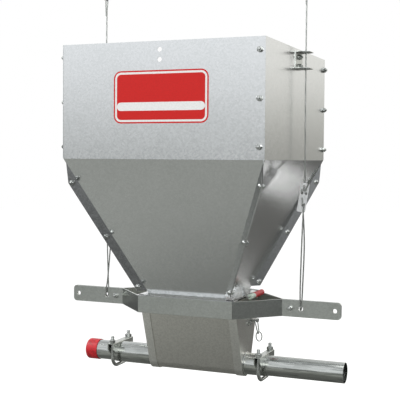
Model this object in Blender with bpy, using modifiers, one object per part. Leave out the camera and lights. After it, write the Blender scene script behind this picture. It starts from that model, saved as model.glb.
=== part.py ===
"""Suspended feed hopper with a sliding gate and an auger boot. Metres, +Z up, front is -Y.

The origin is the hanging point: midway between the two ceiling hooks.
"""
import math

import bmesh
import bpy
from mathutils import Matrix, Vector

# Driving dimensions
GAP = 0.0003                # clearance between pieces that touch
BEND_Z = -0.390             # bend line between box and cone
BOX = 0.444                 # outer width of the box, both ways
BOX_H = 0.236
SHEET = 0.0012
CONE_H = 0.294
THROAT_X = 0.182
THROAT_Y = 0.160
RIM_LIP = 0.009
CORNER_FLANGE = 0.024
SEAM_W = 0.019              # width of the standing seams on the cone
SEAM_TOP = 0.050            # along the corner edge, where a seam reaches its full width
FOOT_LIP = 0.0105           # front and back; the side lips are narrower
SIDE_LIP = 0.0035
CABLE_X = BOX / 2 + 0.0165
FASTENER_ZS = (BOX_H - 0.025, BOX_H / 2, 0.025)
RIM_HOLE_ZS = (BOX_H - 0.017, BOX_H - 0.037)

BASE_X = 0.115              # gate base plate, half sizes
BASE_Y = 0.091
BASE_TOP = BEND_Z - CONE_H - 0.0043
BASE_T = 0.0010
GATE_T = 0.0012
GATE_HALF_Y = 0.0825
GATE_X0 = -0.094
GATE_X1 = 0.1095
GATE_Z = BASE_TOP + GAP
LUG_X = 0.1045
LUG_Z = BASE_TOP + 0.0158
BAIL_REACH = 0.03174        # from the lug's eye to the middle of the grip
BAIL_REST = 18.94           # degrees below level, with the grip just over the straps
BAIL_Y0 = -0.0560
BAIL_Y1 = 0.0450
GRIP_R = 0.0062
WIRE_R = 0.0016
PIN_Z = BASE_TOP - 0.0572
STUD_Z = BASE_TOP - 0.0617

STRAP_T = 0.003
STRAP_TOP = BASE_TOP - BASE_T - GAP
STRAP_H = 0.037
STRAP_RUN = 0.109           # half length of the straight run
STRAP_EAR = CABLE_X - 0.0460          # where the two straps meet
STRAP_END = CABLE_X + 0.0842
EAR_HOLES = ((CABLE_X + 0.0708, 0.0050), (CABLE_X - 0.0040, 0.0055))
EAR_BOLT_X = CABLE_X - 0.0277

BOOT_X = 0.110
BOOT_SLOPE = 0.345
BOOT_SHEET = 0.0015
TUBE_Z = BASE_TOP - 0.1497
BOOT_R = 0.0265             # outer radius of the trough's round bottom
SKIRT_H = 0.032
CAP_WRAP = 0.017
CAP_T = 0.0015

TUBE_R = 0.02222
TUBE_WALL = 0.0014
COLLAR_R = 0.0239
COLLAR_BORE = TUBE_R + GAP
TUBE_END = 0.333
ANCHOR_END = -0.2775
RED_X0 = -0.281
RED_X1 = -0.251
RED_R = 0.0237
COLLAR_RIGHT_END = 0.1625
COLLAR_LEFT_END = -0.2075
CLAMP_XS = (("right", 0.1530), ("left", -0.1995))
CLAMP_HALF = 0.050
LEG_Y = 0.040
UBOLT_R = 0.004

AUGER_R = 0.0175
AUGER_PITCH = 0.038
AUGER_BAR = (0.0050, 0.0024)  # radial and axial size of the flat bar
AUGER_X0 = -0.205
AUGER_X1 = 0.326
BEARING_X = -0.236

CABLE_R = 0.0015
GUIDE_HALF = 0.025
GUIDE_H = 0.036
GUIDE_OUT = 0.029
GUIDE_TOP = BEND_Z + BOX_H - 0.0065
PLATE_T = 0.002

COLL = None
CUTTERS = None


def collections():
    """Empty the scene and make the two collections."""
    global COLL, CUTTERS
    for obj in list(bpy.data.objects):
        bpy.data.objects.remove(obj, do_unlink=True)
    COLL = bpy.data.collections.new("feed_hopper")
    CUTTERS = bpy.data.collections.new("cutters")
    bpy.context.scene.collection.children.link(COLL)
    bpy.context.scene.collection.children.link(CUTTERS)


def material(name, colour, rough, metal):
    """One Principled material."""
    mat = bpy.data.materials.new(name)
    mat.use_nodes = True
    node = mat.node_tree.nodes["Principled BSDF"]
    node.inputs["Base Color"].default_value = (*colour, 1.0)
    node.inputs["Roughness"].default_value = rough
    node.inputs["Metallic"].default_value = metal
    return mat


def mesh_object(name, verts, faces, mat, smooth=None):
    """Link one mesh object; smooth is the angle in degrees above which an edge stays sharp."""
    mesh = bpy.data.meshes.new(name)
    mesh.from_pydata([tuple(v) for v in verts], [], faces)
    mesh.validate()
    bm = bmesh.new()
    bm.from_mesh(mesh)
    bmesh.ops.recalc_face_normals(bm, faces=bm.faces)
    if bm.calc_volume(signed=True) < 0:
        bmesh.ops.reverse_faces(bm, faces=bm.faces)
    bm.to_mesh(mesh)
    bm.free()
    obj = bpy.data.objects.new(name, mesh)
    COLL.objects.link(obj)
    if mat is not None:
        mesh.materials.append(mat)
    if smooth is not None:
        mesh.shade_smooth()
        mesh.set_sharp_from_angle(angle=math.radians(smooth))
    return obj


def sheet(name, verts, faces, thick, mat, smooth=None):
    """A folded sheet: the faces are the outer side, the thickness goes behind them."""
    mesh = bpy.data.meshes.new(name)
    mesh.from_pydata([tuple(v) for v in verts], [], faces)
    obj = bpy.data.objects.new(name, mesh)
    COLL.objects.link(obj)
    mesh.materials.append(mat)
    mod = obj.modifiers.new("thickness", "SOLIDIFY")
    mod.thickness = thick
    mod.offset = -1.0
    mod.use_even_offset = True
    mod.use_quality_normals = True
    if smooth is not None:
        mesh.shade_smooth()
        mesh.set_sharp_from_angle(angle=math.radians(smooth))
    return obj


def cutter(obj):
    """Move an object to the cutters."""
    COLL.objects.unlink(obj)
    CUTTERS.objects.link(obj)
    obj.hide_render = True
    obj.display_type = 'WIRE'
    return obj


def boolean(obj, tool, operation="DIFFERENCE"):
    """Exact Boolean with a cutter."""
    mod = obj.modifiers.new(operation.lower(), "BOOLEAN")
    mod.solver = 'EXACT'
    mod.operation = operation
    mod.object = cutter(tool)


def place(axis, centre, point):
    """A point (u, v, w) whose w runs along the axis, at a centre."""
    u, v, w = point
    if axis == "X":
        return Vector((centre[0] + w, centre[1] + u, centre[2] + v))
    if axis == "Y":
        return Vector((centre[0] + u, centre[1] + w, centre[2] + v))
    return Vector((centre[0] + u, centre[1] + v, centre[2] + w))


def axis_matrix(axis, centre, along):
    """Matrix from (u, v, w) to the model, for a piece whose w runs along the axis."""
    rows = {"X": ((0, 0, 1), (1, 0, 0), (0, 1, 0)), "Y": ((1, 0, 0), (0, 0, 1), (0, 1, 0)),
            "Z": ((1, 0, 0), (0, 1, 0), (0, 0, 1))}[axis]
    matrix = Matrix([(*row, c) for row, c in zip(rows, centre)] + [(0, 0, 0, 1)])
    return matrix @ Matrix.Translation((0, 0, along))


def settled(name, data, matrix, mat, smooth=None, turns=0):
    """Apply a curve's or a profile's own shape and put it in place as one closed mesh."""
    source = bpy.data.objects.new(name + "_source", data)
    COLL.objects.link(source)
    if turns:
        screw = source.modifiers.new("turn", 'SCREW')
        screw.axis = 'Z'
        screw.steps = turns
        screw.render_steps = turns
        screw.use_merge_vertices = True
        screw.merge_threshold = 1e-6
    bpy.context.view_layer.update()
    depsgraph = bpy.context.evaluated_depsgraph_get()
    mesh = bpy.data.meshes.new_from_object(source.evaluated_get(depsgraph))
    bpy.data.objects.remove(source, do_unlink=True)
    bm = bmesh.new()
    bm.from_mesh(mesh)
    bmesh.ops.transform(bm, matrix=matrix, verts=bm.verts)
    bmesh.ops.remove_doubles(bm, verts=bm.verts, dist=1e-6)
    return from_bmesh(name, bm, mat, smooth)


def from_bmesh(name, bm, mat, smooth=None):
    """Link a bmesh as an object, with its faces outwards."""
    bmesh.ops.recalc_face_normals(bm, faces=bm.faces)
    if bm.calc_volume(signed=True) < 0:
        bmesh.ops.reverse_faces(bm, faces=bm.faces)
    mesh = bpy.data.meshes.new(name)
    bm.to_mesh(mesh)
    bm.free()
    obj = bpy.data.objects.new(name, mesh)
    COLL.objects.link(obj)
    if mat is not None:
        mesh.materials.append(mat)
    if smooth is not None:
        mesh.shade_smooth()
        mesh.set_sharp_from_angle(angle=math.radians(smooth))
    return obj


def loft(name, rings, mat, smooth=None, closed=False, hollow=False):
    """Join rings of equal length; flat ends unless hollow (the last ring meets the first)."""
    count = len(rings[0])
    verts = [p for ring in rings for p in ring]
    faces = []
    last = len(rings) if hollow else len(rings) - 1
    for i in range(last):
        a = i * count
        b = ((i + 1) % len(rings)) * count
        for j in range(count):
            k = (j + 1) % count
            faces.append((a + j, a + k, b + k, b + j))
    if not hollow:
        faces.append(tuple(range(count)))
        faces.append(tuple(reversed(range((len(rings) - 1) * count, len(rings) * count))))
    return mesh_object(name, verts, faces, mat, smooth)


def circle(radius, w, axis, centre, count, phase=0.5):
    """Points of one ring about an axis."""
    ring = []
    for i in range(count):
        a = 2 * math.pi * (i + phase) / count
        ring.append(place(axis, centre, (radius * math.cos(a), radius * math.sin(a), w)))
    return ring


def hexagon(flat, w, axis, centre):
    """Twelve points on a hexagon: its corners and the middles of its sides."""
    ring = []
    corner = flat / math.cos(math.pi / 6)
    for i in range(12):
        a = 2 * math.pi * i / 12
        r = corner if i % 2 == 0 else flat
        ring.append(place(axis, centre, (r * math.cos(a), r * math.sin(a), w)))
    return ring


def turned(name, profile, axis, centre, mat, count=32, smooth=40, hollow=False):
    """A turned piece: (radius, position along the axis) pairs with a Screw modifier."""
    points = list(profile)
    if not hollow:
        points = [(0.0, points[0][1])] + points + [(0.0, points[-1][1])]
    half = math.pi / count
    verts = [(r * math.cos(half), r * math.sin(half), w) for r, w in points]
    edges = [(i, i + 1) for i in range(len(points) - 1)]
    if hollow:
        edges.append((len(points) - 1, 0))
    mesh = bpy.data.meshes.new(name + "_profile")
    mesh.from_pydata(verts, edges, [])
    return settled(name, mesh, axis_matrix(axis, centre, 0.0), mat, smooth, count)


def tube(name, outer, inner, w0, w1, axis, centre, mat, count=32):
    """A plain round tube."""
    profile = [(outer, w0), (outer, w1), (inner, w1), (inner, w0)]
    return turned(name, profile, axis, centre, mat, count, hollow=True)


def box(name, lo, hi, mat):
    """A plain block between two corners."""
    bm = bmesh.new()
    bmesh.ops.create_cube(bm, size=1.0)
    size = [b - a for a, b in zip(lo, hi)]
    middle = [(a + b) / 2 for a, b in zip(lo, hi)]
    matrix = Matrix.Translation(middle) @ Matrix.Diagonal((*size, 1.0))
    bmesh.ops.transform(bm, matrix=matrix, verts=bm.verts)
    return from_bmesh(name, bm, mat)


def prism(name, outline, axis, w0, w1, mat, centre=(0, 0, 0), smooth=None):
    """A flat outline of (u, v) pairs, as a filled curve extruded along an axis."""
    curve = bpy.data.curves.new(name + "_outline", 'CURVE')
    curve.dimensions = '2D'
    curve.fill_mode = 'BOTH'
    curve.extrude = abs(w1 - w0) / 2
    spline = curve.splines.new('POLY')
    spline.points.add(len(outline) - 1)
    for item, (u, v) in zip(spline.points, outline):
        item.co = (u, v, 0.0, 1.0)
    spline.use_cyclic_u = True
    return settled(name, curve, axis_matrix(axis, centre, (w0 + w1) / 2), mat, smooth)


def wire(name, points, radius, mat, cyclic=False, resolution=2):
    """A round wire along hand-chosen points."""
    curve = bpy.data.curves.new(name + "_path", 'CURVE')
    curve.dimensions = '3D'
    spline = curve.splines.new('POLY')
    spline.points.add(len(points) - 1)
    for item, point in zip(spline.points, points):
        item.co = (*point, 1.0)
    spline.use_cyclic_u = cyclic
    curve.bevel_depth = radius
    curve.bevel_resolution = resolution
    curve.use_fill_caps = True
    path = bpy.data.objects.new(name + "_path", curve)
    COLL.objects.link(path)
    bpy.context.view_layer.update()
    mesh = bpy.data.meshes.new_from_object(path)
    bm = bmesh.new()
    bm.from_mesh(mesh)
    bmesh.ops.remove_doubles(bm, verts=bm.verts, dist=1e-6)
    bmesh.ops.recalc_face_normals(bm, faces=bm.faces)
    bm.to_mesh(mesh)
    bm.free()
    obj = bpy.data.objects.new(name, mesh)
    obj.matrix_world = path.matrix_world.copy()
    bpy.data.objects.remove(path, do_unlink=True)
    COLL.objects.link(obj)
    mesh.materials.clear()
    mesh.materials.append(mat)
    mesh.shade_smooth()
    mesh.set_sharp_from_angle(angle=math.radians(50))
    return obj


def arc(centre, radius, start, end, steps):
    """Points (u, v) of an arc, angles in degrees."""
    points = []
    for i in range(steps + 1):
        a = math.radians(start + (end - start) * i / steps)
        points.append((centre[0] + radius * math.cos(a), centre[1] + radius * math.sin(a)))
    return points


def smooth_route(route, steps):
    """A smooth curve through hand-chosen points."""
    pts = [Vector(p) for p in route]
    pts = [2 * pts[0] - pts[1]] + pts + [2 * pts[-1] - pts[-2]]
    out = []
    for i in range(1, len(pts) - 2):
        p0, p1, p2, p3 = pts[i - 1:i + 3]
        for k in range(steps):
            t = k / steps
            out.append(0.5 * (2 * p1 + (p2 - p0) * t + (2 * p0 - 5 * p1 + 4 * p2 - p3) * t * t
                              + (3 * p1 - p0 - 3 * p2 + p3) * t ** 3))
    out.append(pts[-2])
    return out


def wall_normal(foot):
    """Outward normal of a cone wall that faces -Y, from the distance of its foot."""
    run = BOX / 2 - foot
    size = math.hypot(run, CONE_H)
    return Vector((0.0, -CONE_H / size, -run / size))


def panel(name, turn, half_along, foot, lip, drop, mat):
    """One bent blank: box wall, rim, corner flange, cone wall, seam flanges and foot lip."""
    h = BOX / 2
    inner = h - SHEET - GAP
    own = wall_normal(foot)
    other = wall_normal(half_along)
    right = Vector((-other.y, 0.0, other.z))
    top = Vector((h, -h, 0.0))
    bottom = Vector((half_along, -foot, -CONE_H))
    edge = (bottom - top).normalized()
    out = (own + right).normalized()
    side = (own - right).normalized()
    along = own.cross(edge).normalized()
    if along.x > 0:
        along = -along
    shift = (SHEET + GAP / 2) / along.dot(side)
    start = top + along * shift

    def fold(t):
        return start + edge * t

    t_bend = -start.z / edge.z
    t_foot = (-CONE_H - start.z) / edge.z
    t_cut = (-CONE_H + 0.006 - start.z) / edge.z
    t_outer = (-CONE_H + 0.006 - start.z - SEAM_W * out.z) / edge.z
    bend = fold(t_bend)
    foot_corner = fold(t_foot)
    verts = [
        Vector((-inner, -h, BOX_H)), Vector((h, -h, BOX_H)),
        Vector((h, -h, 0.003)), bend.copy(),
        Vector((-bend.x, bend.y, bend.z)), Vector((-inner, -h, 0.003)),
        fold(0.012), fold(t_cut), foot_corner.copy(),
    ]
    faces = [(0, 5, 4, 3, 2, 1)]
    # left side of the cone wall mirrors the right side
    mirror = [Vector((-v.x, v.y, v.z)) for v in (verts[6], verts[7], verts[8])]
    verts += mirror
    faces.append((4, 9, 10, 11, 8, 7, 6, 3))
    # seam flanges
    n = len(verts)
    wide = [fold(t_outer) + out * SEAM_W, fold(SEAM_TOP) + out * SEAM_W]
    verts += wide + [Vector((-v.x, v.y, v.z)) for v in wide]
    faces.append((6, 7, n, n + 1))
    faces.append((10, 9, n + 3, n + 2))
    # corner flange inside the neighbour
    n = len(verts)
    verts += [Vector((-inner, -h, BOX_H - 0.006)),
              Vector((-inner, -h + CORNER_FLANGE, BOX_H - 0.010)),
              Vector((-inner, -h + CORNER_FLANGE, 0.010))]
    faces[0] = (0, n, 5, 4, 3, 2, 1)
    faces.append((5, n, n + 1, n + 2))
    # rim
    m = len(verts)
    reach = h - CORNER_FLANGE - 0.006
    verts += [Vector((-reach, -h, BOX_H)), Vector((reach, -h, BOX_H)),
              Vector((reach - 0.004, -h + RIM_LIP, BOX_H)),
              Vector((-reach + 0.004, -h + RIM_LIP, BOX_H))]
    faces[0] = (0, n, 5, 4, 3, 2, 1, m + 1, m)
    faces.append((m, m + 1, m + 2, m + 3))
    # foot lip
    n = len(verts)
    grow = lip * 0.8
    verts += [foot_corner + Vector((grow, -lip, -drop)),
              Vector((-foot_corner.x - grow, foot_corner.y - lip, foot_corner.z - drop))]
    faces.append((11, n + 1, n, 8))
    rot = Matrix.Translation((0, 0, BEND_Z)) @ Matrix.Rotation(math.radians(90 * turn), 4, 'Z')
    verts = [rot @ v for v in verts]
    return sheet(name, verts, faces, SHEET, mat)


def panels(mats):
    """The four panels, with the holes of their corner fasteners."""
    zinc = mats["galvanised_sheet"]
    half_x = THROAT_X / 2
    half_y = THROAT_Y / 2
    specs = (("front_panel", 0, half_x, half_y, FOOT_LIP, 0.0025),
             ("right_panel", 1, half_y, half_x, SIDE_LIP, 0.0006),
             ("back_panel", 2, half_x, half_y, FOOT_LIP, 0.0025),
             ("left_panel", 3, half_y, half_x, SIDE_LIP, 0.0006))
    for name, turn, along, foot, lip, drop in specs:
        obj = panel(name, turn, along, foot, lip, drop, zinc)
        obj.data.shade_flat()
        tools = []
        rot = Matrix.Rotation(math.radians(90 * turn), 4, 'Z')
        rights = [(BOX / 2 - 0.0115, z, 0.0034) for z in FASTENER_ZS]
        centre_holes = [(0.0, z, 0.0050) for z in RIM_HOLE_ZS]
        rings_spec = rights + centre_holes
        for i, (x, z, r) in enumerate(rings_spec):
            pts = []
            for w in (-BOX / 2 - 0.004, -BOX / 2 + 0.004):
                ring = []
                for j in range(12):
                    a = 2 * math.pi * (j + 0.5) / 12
                    p = Vector((x + r * math.cos(a), w, BEND_Z + z + r * math.sin(a)))
                    ring.append(rot @ p)
                pts.append(ring)
            tools.append(loft(name + "_hole_%d" % i, pts, None))
        # holes in its own corner flange, which lies inside the neighbour
        for i, z in enumerate(FASTENER_ZS):
            pts = []
            for w in (-BOX / 2 - 0.001, -BOX / 2 + 0.006):
                ring = []
                for j in range(12):
                    a = 2 * math.pi * (j + 0.5) / 12
                    p = Vector((w, -BOX / 2 + 0.0115 + 0.0034 * math.cos(a),
                                BEND_Z + z + 0.0034 * math.sin(a)))
                    ring.append(rot @ p)
                pts.append(ring)
            tools.append(loft(name + "_flange_hole_%d" % i, pts, None))
        boolean(obj, join(name + "_holes", tools))


def join(name, objs):
    """Merge separate closed bodies into one mesh."""
    bm = bmesh.new()
    for obj in objs:
        bm.from_mesh(obj.data)
        bpy.data.objects.remove(obj, do_unlink=True)
    mesh = bpy.data.meshes.new(name)
    bm.to_mesh(mesh)
    bm.free()
    obj = bpy.data.objects.new(name, mesh)
    COLL.objects.link(obj)
    return obj


def fastener(name, axis, centre, sign, mat, head=0.0058, grip=0.0033):
    """Bolt, washer and nut as one body: head inside, nut outside along sign."""
    s = sign
    o = grip / 2
    rings = [circle(head * 0.45, -s * (o + 0.0030), axis, centre, 12, 0),
             circle(head * 0.9, -s * (o + 0.0018), axis, centre, 12, 0),
             circle(head, -s * o, axis, centre, 12, 0),
             circle(0.0029, -s * o, axis, centre, 12, 0),
             circle(0.0029, s * o, axis, centre, 12, 0),
             circle(0.0062, s * o, axis, centre, 12, 0),
             circle(0.0062, s * (o + 0.0012), axis, centre, 12, 0),
             hexagon(0.0049, s * (o + 0.0012), axis, centre),
             hexagon(0.0049, s * (o + 0.0058), axis, centre),
             circle(0.0029, s * (o + 0.0058), axis, centre, 12, 0),
             circle(0.0029, s * (o + 0.0088), axis, centre, 12, 0)]
    return loft(name, rings, mat)


def corner_fasteners(mats):
    """Three fasteners at each corner of the box."""
    zinc = mats["zinc_fastener"]
    offset = BOX / 2 - 0.0115
    mid = BOX / 2 - SHEET - GAP / 2
    grip = 2 * SHEET + 3 * GAP
    spots = (("front", "Y", (offset, -mid), -1), ("right", "X", (mid, offset), 1),
             ("back", "Y", (-offset, mid), 1), ("left", "X", (-mid, -offset), -1))
    for label, axis, (x, y), sign in spots:
        for i, z in enumerate(FASTENER_ZS):
            fastener("corner_fastener_%s_%d" % (label, i + 1), axis,
                     (x, y, BEND_Z + z), sign, zinc, grip=grip)


def cable_guides(mats):
    """Channel brackets on the side panels, with a hole in each flange for the cable."""
    for label, s in (("right", 1), ("left", -1)):
        x0 = s * (BOX / 2 + GAP)
        x1 = s * (BOX / 2 + GUIDE_OUT)
        t = 0.0015
        z1 = GUIDE_TOP
        z0 = GUIDE_TOP - GUIDE_H
        outline = [(x0, z0), (x1, z0), (x1, z0 + t), (x0 + s * t, z0 + t),
                   (x0 + s * t, z1 - t), (x1, z1 - t), (x1, z1), (x0, z1)]
        obj = prism("cable_guide_" + label, outline, "Y", -GUIDE_HALF, GUIDE_HALF,
                    mats["galvanised_sheet"])
        taper = []
        for k in (-1, 1):
            tri = [(x1 + s * 0.002, k * (GUIDE_HALF + 0.002)),
                   (x1 + s * 0.002, k * (GUIDE_HALF - 0.012)),
                   (x0 + s * 0.006, k * (GUIDE_HALF + 0.002))]
            taper.append(prism("guide_cut_%s_%d" % (label, k), tri, "Z",
                               z0 - 0.002, z1 + 0.002, None))
        hole = turned("guide_hole_" + label, [(0.0042, -0.040), (0.0042, 0.004)], "Z",
                      (s * CABLE_X, 0, GUIDE_TOP), None, 16)
        boolean(obj, join("guide_cutter_" + label, taper + [hole]))


def gate_parts(mats):
    """Base plate with guides, sliding gate with its lug, bail and grip."""
    zinc = mats["galvanised_sheet"]
    base = box("gate_base", (-BASE_X, -BASE_Y, BASE_TOP - BASE_T), (BASE_X, BASE_Y, BASE_TOP), zinc)
    hole = box("base_opening", (-0.089, -0.0765, BASE_TOP - 0.01), (0.089, 0.0765, BASE_TOP + 0.01),
               None)
    mouth = box("base_mouth", (0.1105, -0.068, BASE_TOP - 0.01), (0.13, 0.068, BASE_TOP + 0.01), None)
    boolean(base, join("base_cutter", [hole, mouth]))
    for label, s in (("front", -1), ("back", 1)):
        y0 = s * (GATE_HALF_Y + GAP)
        y1 = y0 + s * 0.0020
        lo = (-BASE_X + 0.004, min(y0, y1), BASE_TOP + GAP)
        hi = (BASE_X - 0.004, max(y0, y1), BASE_TOP + GAP + 0.0011)
        box("gate_rail_" + label, lo, hi, mats["plain_steel"])
    gate = box("slide_gate", (GATE_X0, -GATE_HALF_Y, GATE_Z), (GATE_X1, GATE_HALF_Y, GATE_Z + GATE_T),
               zinc)
    lug_outline = [(LUG_X - 0.0038, GATE_Z + 0.0004), (LUG_X + 0.0050, GATE_Z + 0.0004),
                   (LUG_X + 0.0038, LUG_Z + 0.0010), (LUG_X + 0.0018, LUG_Z + 0.0042),
                   (LUG_X - 0.0016, LUG_Z + 0.0042), (LUG_X - 0.0038, LUG_Z + 0.0010)]
    lug = prism("gate_lug", lug_outline, "Y", -0.0015, 0.0015, None)
    boolean(gate, lug, "UNION")
    eye = turned("lug_hole", [(0.0024, -0.01), (0.0024, 0.01)], "Y", (LUG_X, 0, LUG_Z), None, 16)
    boolean(gate, eye)
    apex = Vector((LUG_X, 0, LUG_Z))
    tilt = math.radians(BAIL_REST)
    low = apex + Vector((BAIL_REACH * math.cos(tilt), 0, -BAIL_REACH * math.sin(tilt)))
    pts = [apex + Vector((0, -0.0060, -0.0004)), apex + Vector((0, 0, 0.0002)),
           apex + Vector((0, 0.0060, -0.0004))]
    pts += [apex.lerp(low, 0.90) + Vector((0, BAIL_Y1 - 0.002, 0)), low + Vector((0, BAIL_Y1, 0)),
            low + Vector((0, BAIL_Y1 - 0.0035, 0))]
    pts += [low + Vector((0, BAIL_Y0 + 0.0035, 0)), low + Vector((0, BAIL_Y0, 0)),
            apex.lerp(low, 0.90) + Vector((0, BAIL_Y0 + 0.002, 0))]
    wire("bail_wire", pts, WIRE_R, mats["bright_wire"], cyclic=True)
    split = BAIL_Y0 + 0.0355
    tube("grip_sleeve", GRIP_R, WIRE_R + GAP, split + GAP, BAIL_Y1 - 0.011, "Y", (low.x, 0, low.z),
         mats["red_plastic"], 20)
    tube("grip_ferrule", GRIP_R - 0.0004, WIRE_R + GAP, BAIL_Y0 + 0.010, split, "Y",
         (low.x, 0, low.z), mats["pale_plastic"], 20)


def straps(mats):
    """Two bent hanger straps, back to back at their ears, and the bolts through the ears."""
    for label, s in (("front", -1), ("back", 1)):
        inner = BASE_Y - STRAP_T - 0.0003
        near = GAP / 2
        mitre = STRAP_T * 0.30
        outline = [(-STRAP_END, s * near), (-STRAP_EAR, s * near), (-STRAP_RUN + mitre, s * inner),
                   (STRAP_RUN - mitre, s * inner), (STRAP_EAR, s * near), (STRAP_END, s * near),
                   (STRAP_END, s * (near + STRAP_T)), (STRAP_EAR + mitre, s * (near + STRAP_T)),
                   (STRAP_RUN + mitre, s * (inner + STRAP_T)),
                   (-STRAP_RUN - mitre, s * (inner + STRAP_T)),
                   (-STRAP_EAR - mitre, s * (near + STRAP_T)), (-STRAP_END, s * (near + STRAP_T))]
        obj = prism("hanger_strap_" + label, outline, "Z", STRAP_TOP - STRAP_H, STRAP_TOP,
                    mats["galvanised_bar"])
        round_r = 0.008
        z0 = STRAP_TOP - STRAP_H
        frame = arc((STRAP_END - round_r, STRAP_TOP - round_r), round_r, 0, 90, 5)
        frame += arc((-STRAP_END + round_r, STRAP_TOP - round_r), round_r, 90, 180, 5)
        frame += arc((-STRAP_END + round_r, z0 + round_r), round_r, 180, 270, 5)
        frame += arc((STRAP_END - round_r, z0 + round_r), round_r, 270, 360, 5)
        keep = prism("strap_outline_" + label, frame, "Y", -0.2, 0.2, None)
        boolean(obj, keep, "INTERSECT")
        holes = []
        zc = STRAP_TOP - STRAP_H / 2
        for k in (-1, 1):
            for x, r in EAR_HOLES + ((EAR_BOLT_X, 0.0042),):
                holes.append(turned("ear_hole_%s_%d" % (label, len(holes)),
                                    [(r, -0.02), (r, 0.02)], "Y", (k * x, 0, zc), None, 16))
        boolean(obj, join("ear_holes_" + label, holes))
    zc = STRAP_TOP - STRAP_H / 2
    for label, k in (("right", 1), ("left", -1)):
        fastener("ear_bolt_" + label, "Y", (k * EAR_BOLT_X, 0, zc), -1, mats["zinc_fastener"],
                 head=0.0075, grip=2 * STRAP_T + 3 * GAP)


def boot_section(offset, top):
    """Points (y, z) down the front wall, round the bottom and up the back wall."""
    angle = math.degrees(math.atan(BOOT_SLOPE))
    r = BOOT_R + offset
    pts = arc((0.0, TUBE_Z), r, 180 + angle, 360 - angle, 14)
    y, z = pts[-1]
    reach = (top - z) * BOOT_SLOPE
    return [(-(y + reach), top)] + pts + [(y + reach, top)]


def boot(mats):
    """The trough, its end plates, the tube collars and the lock pin."""
    zinc = mats["galvanised_sheet"]
    top = STRAP_TOP - 0.0004 - BOOT_SHEET
    lip_y = BASE_Y - STRAP_T - 0.0003 - GAP - BOOT_SHEET
    path = boot_section(0.0, top)
    path = [(-lip_y, top - SKIRT_H), (-lip_y, top)] + path + [(lip_y, top), (lip_y, top - SKIRT_H)]
    n = len(path)
    verts = [(x, y, z) for x in (-BOOT_X, BOOT_X) for y, z in path]
    faces = [(i, i + 1, n + i + 1, n + i) for i in range(n - 1)]
    trough = sheet("boot_trough", verts, faces, BOOT_SHEET, zinc, smooth=35)
    notches = []
    for i, (kx, ky) in enumerate(((1, 1), (1, -1), (-1, 1), (-1, -1))):
        xs = sorted((kx * (STRAP_RUN - 0.0030), kx * 0.13))
        ys = sorted((ky * 0.0815, ky * 0.10))
        notches.append(box("skirt_notch_%d" % i, (xs[0], ys[0], top - SKIRT_H - 0.01),
                           (xs[1], ys[1], top + 0.01), None))
    boolean(trough, join("skirt_notches", notches))
    for label, s in (("right", 1), ("left", -1)):
        plate_in = BOOT_X + GAP
        wrap_top = TUBE_Z + 0.075
        u_pts = boot_section(GAP, wrap_top)
        upper = boot_section(GAP, top - 0.0005)
        ring = [upper[0]] + u_pts + [upper[-1]]
        m = len(ring)
        verts = [(s * plate_in, y, z) for y, z in ring]
        verts += [(s * (plate_in - CAP_WRAP), y, z) for y, z in u_pts]
        faces = [tuple(range(m)) if s < 0 else tuple(reversed(range(m)))]
        for i in range(len(u_pts) - 1):
            quad = (i + 2, i + 1, m + i, m + i + 1)
            faces.append(quad if s < 0 else tuple(reversed(quad)))
        cap = sheet("boot_end_cap_" + label, verts, faces, CAP_T, zinc, smooth=35)
        hole = turned("cap_hole_" + label, [(COLLAR_R + GAP, -0.02), (COLLAR_R + GAP, 0.02)], "X",
                      (s * BOOT_X, 0, TUBE_Z), None, 32)
        tools = [hole]
        if s > 0:
            tools.append(turned("pin_hole", [(0.0030 + GAP, -0.02), (0.0030 + GAP, 0.02)], "X",
                                (BOOT_X, 0.027, PIN_Z), None, 16))
            tools.append(turned("stud_hole", [(0.0032, -0.02), (0.0032, 0.02)], "X",
                                (BOOT_X, 0.010, STUD_Z), None, 12))
        boolean(cap, join("cap_holes_" + label, tools))
    ends = (("right", 1, COLLAR_RIGHT_END), ("left", -1, -COLLAR_LEFT_END))
    for label, s, end in ends:
        face = BOOT_X + GAP + CAP_T + GAP
        profile = [(COLLAR_R, s * (BOOT_X - 0.004)), (COLLAR_R, s * face),
                   (COLLAR_R + 0.0022, s * face), (COLLAR_R + 0.0004, s * (face + 0.0020)),
                   (COLLAR_R, s * (face + 0.0024)), (COLLAR_R, s * end),
                   (COLLAR_BORE, s * end), (COLLAR_BORE, s * (BOOT_X - 0.004))]
        turned("tube_collar_" + label, profile, "X", (0, 0, TUBE_Z), mats["galvanised_tube"], 32,
               hollow=True)


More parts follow.
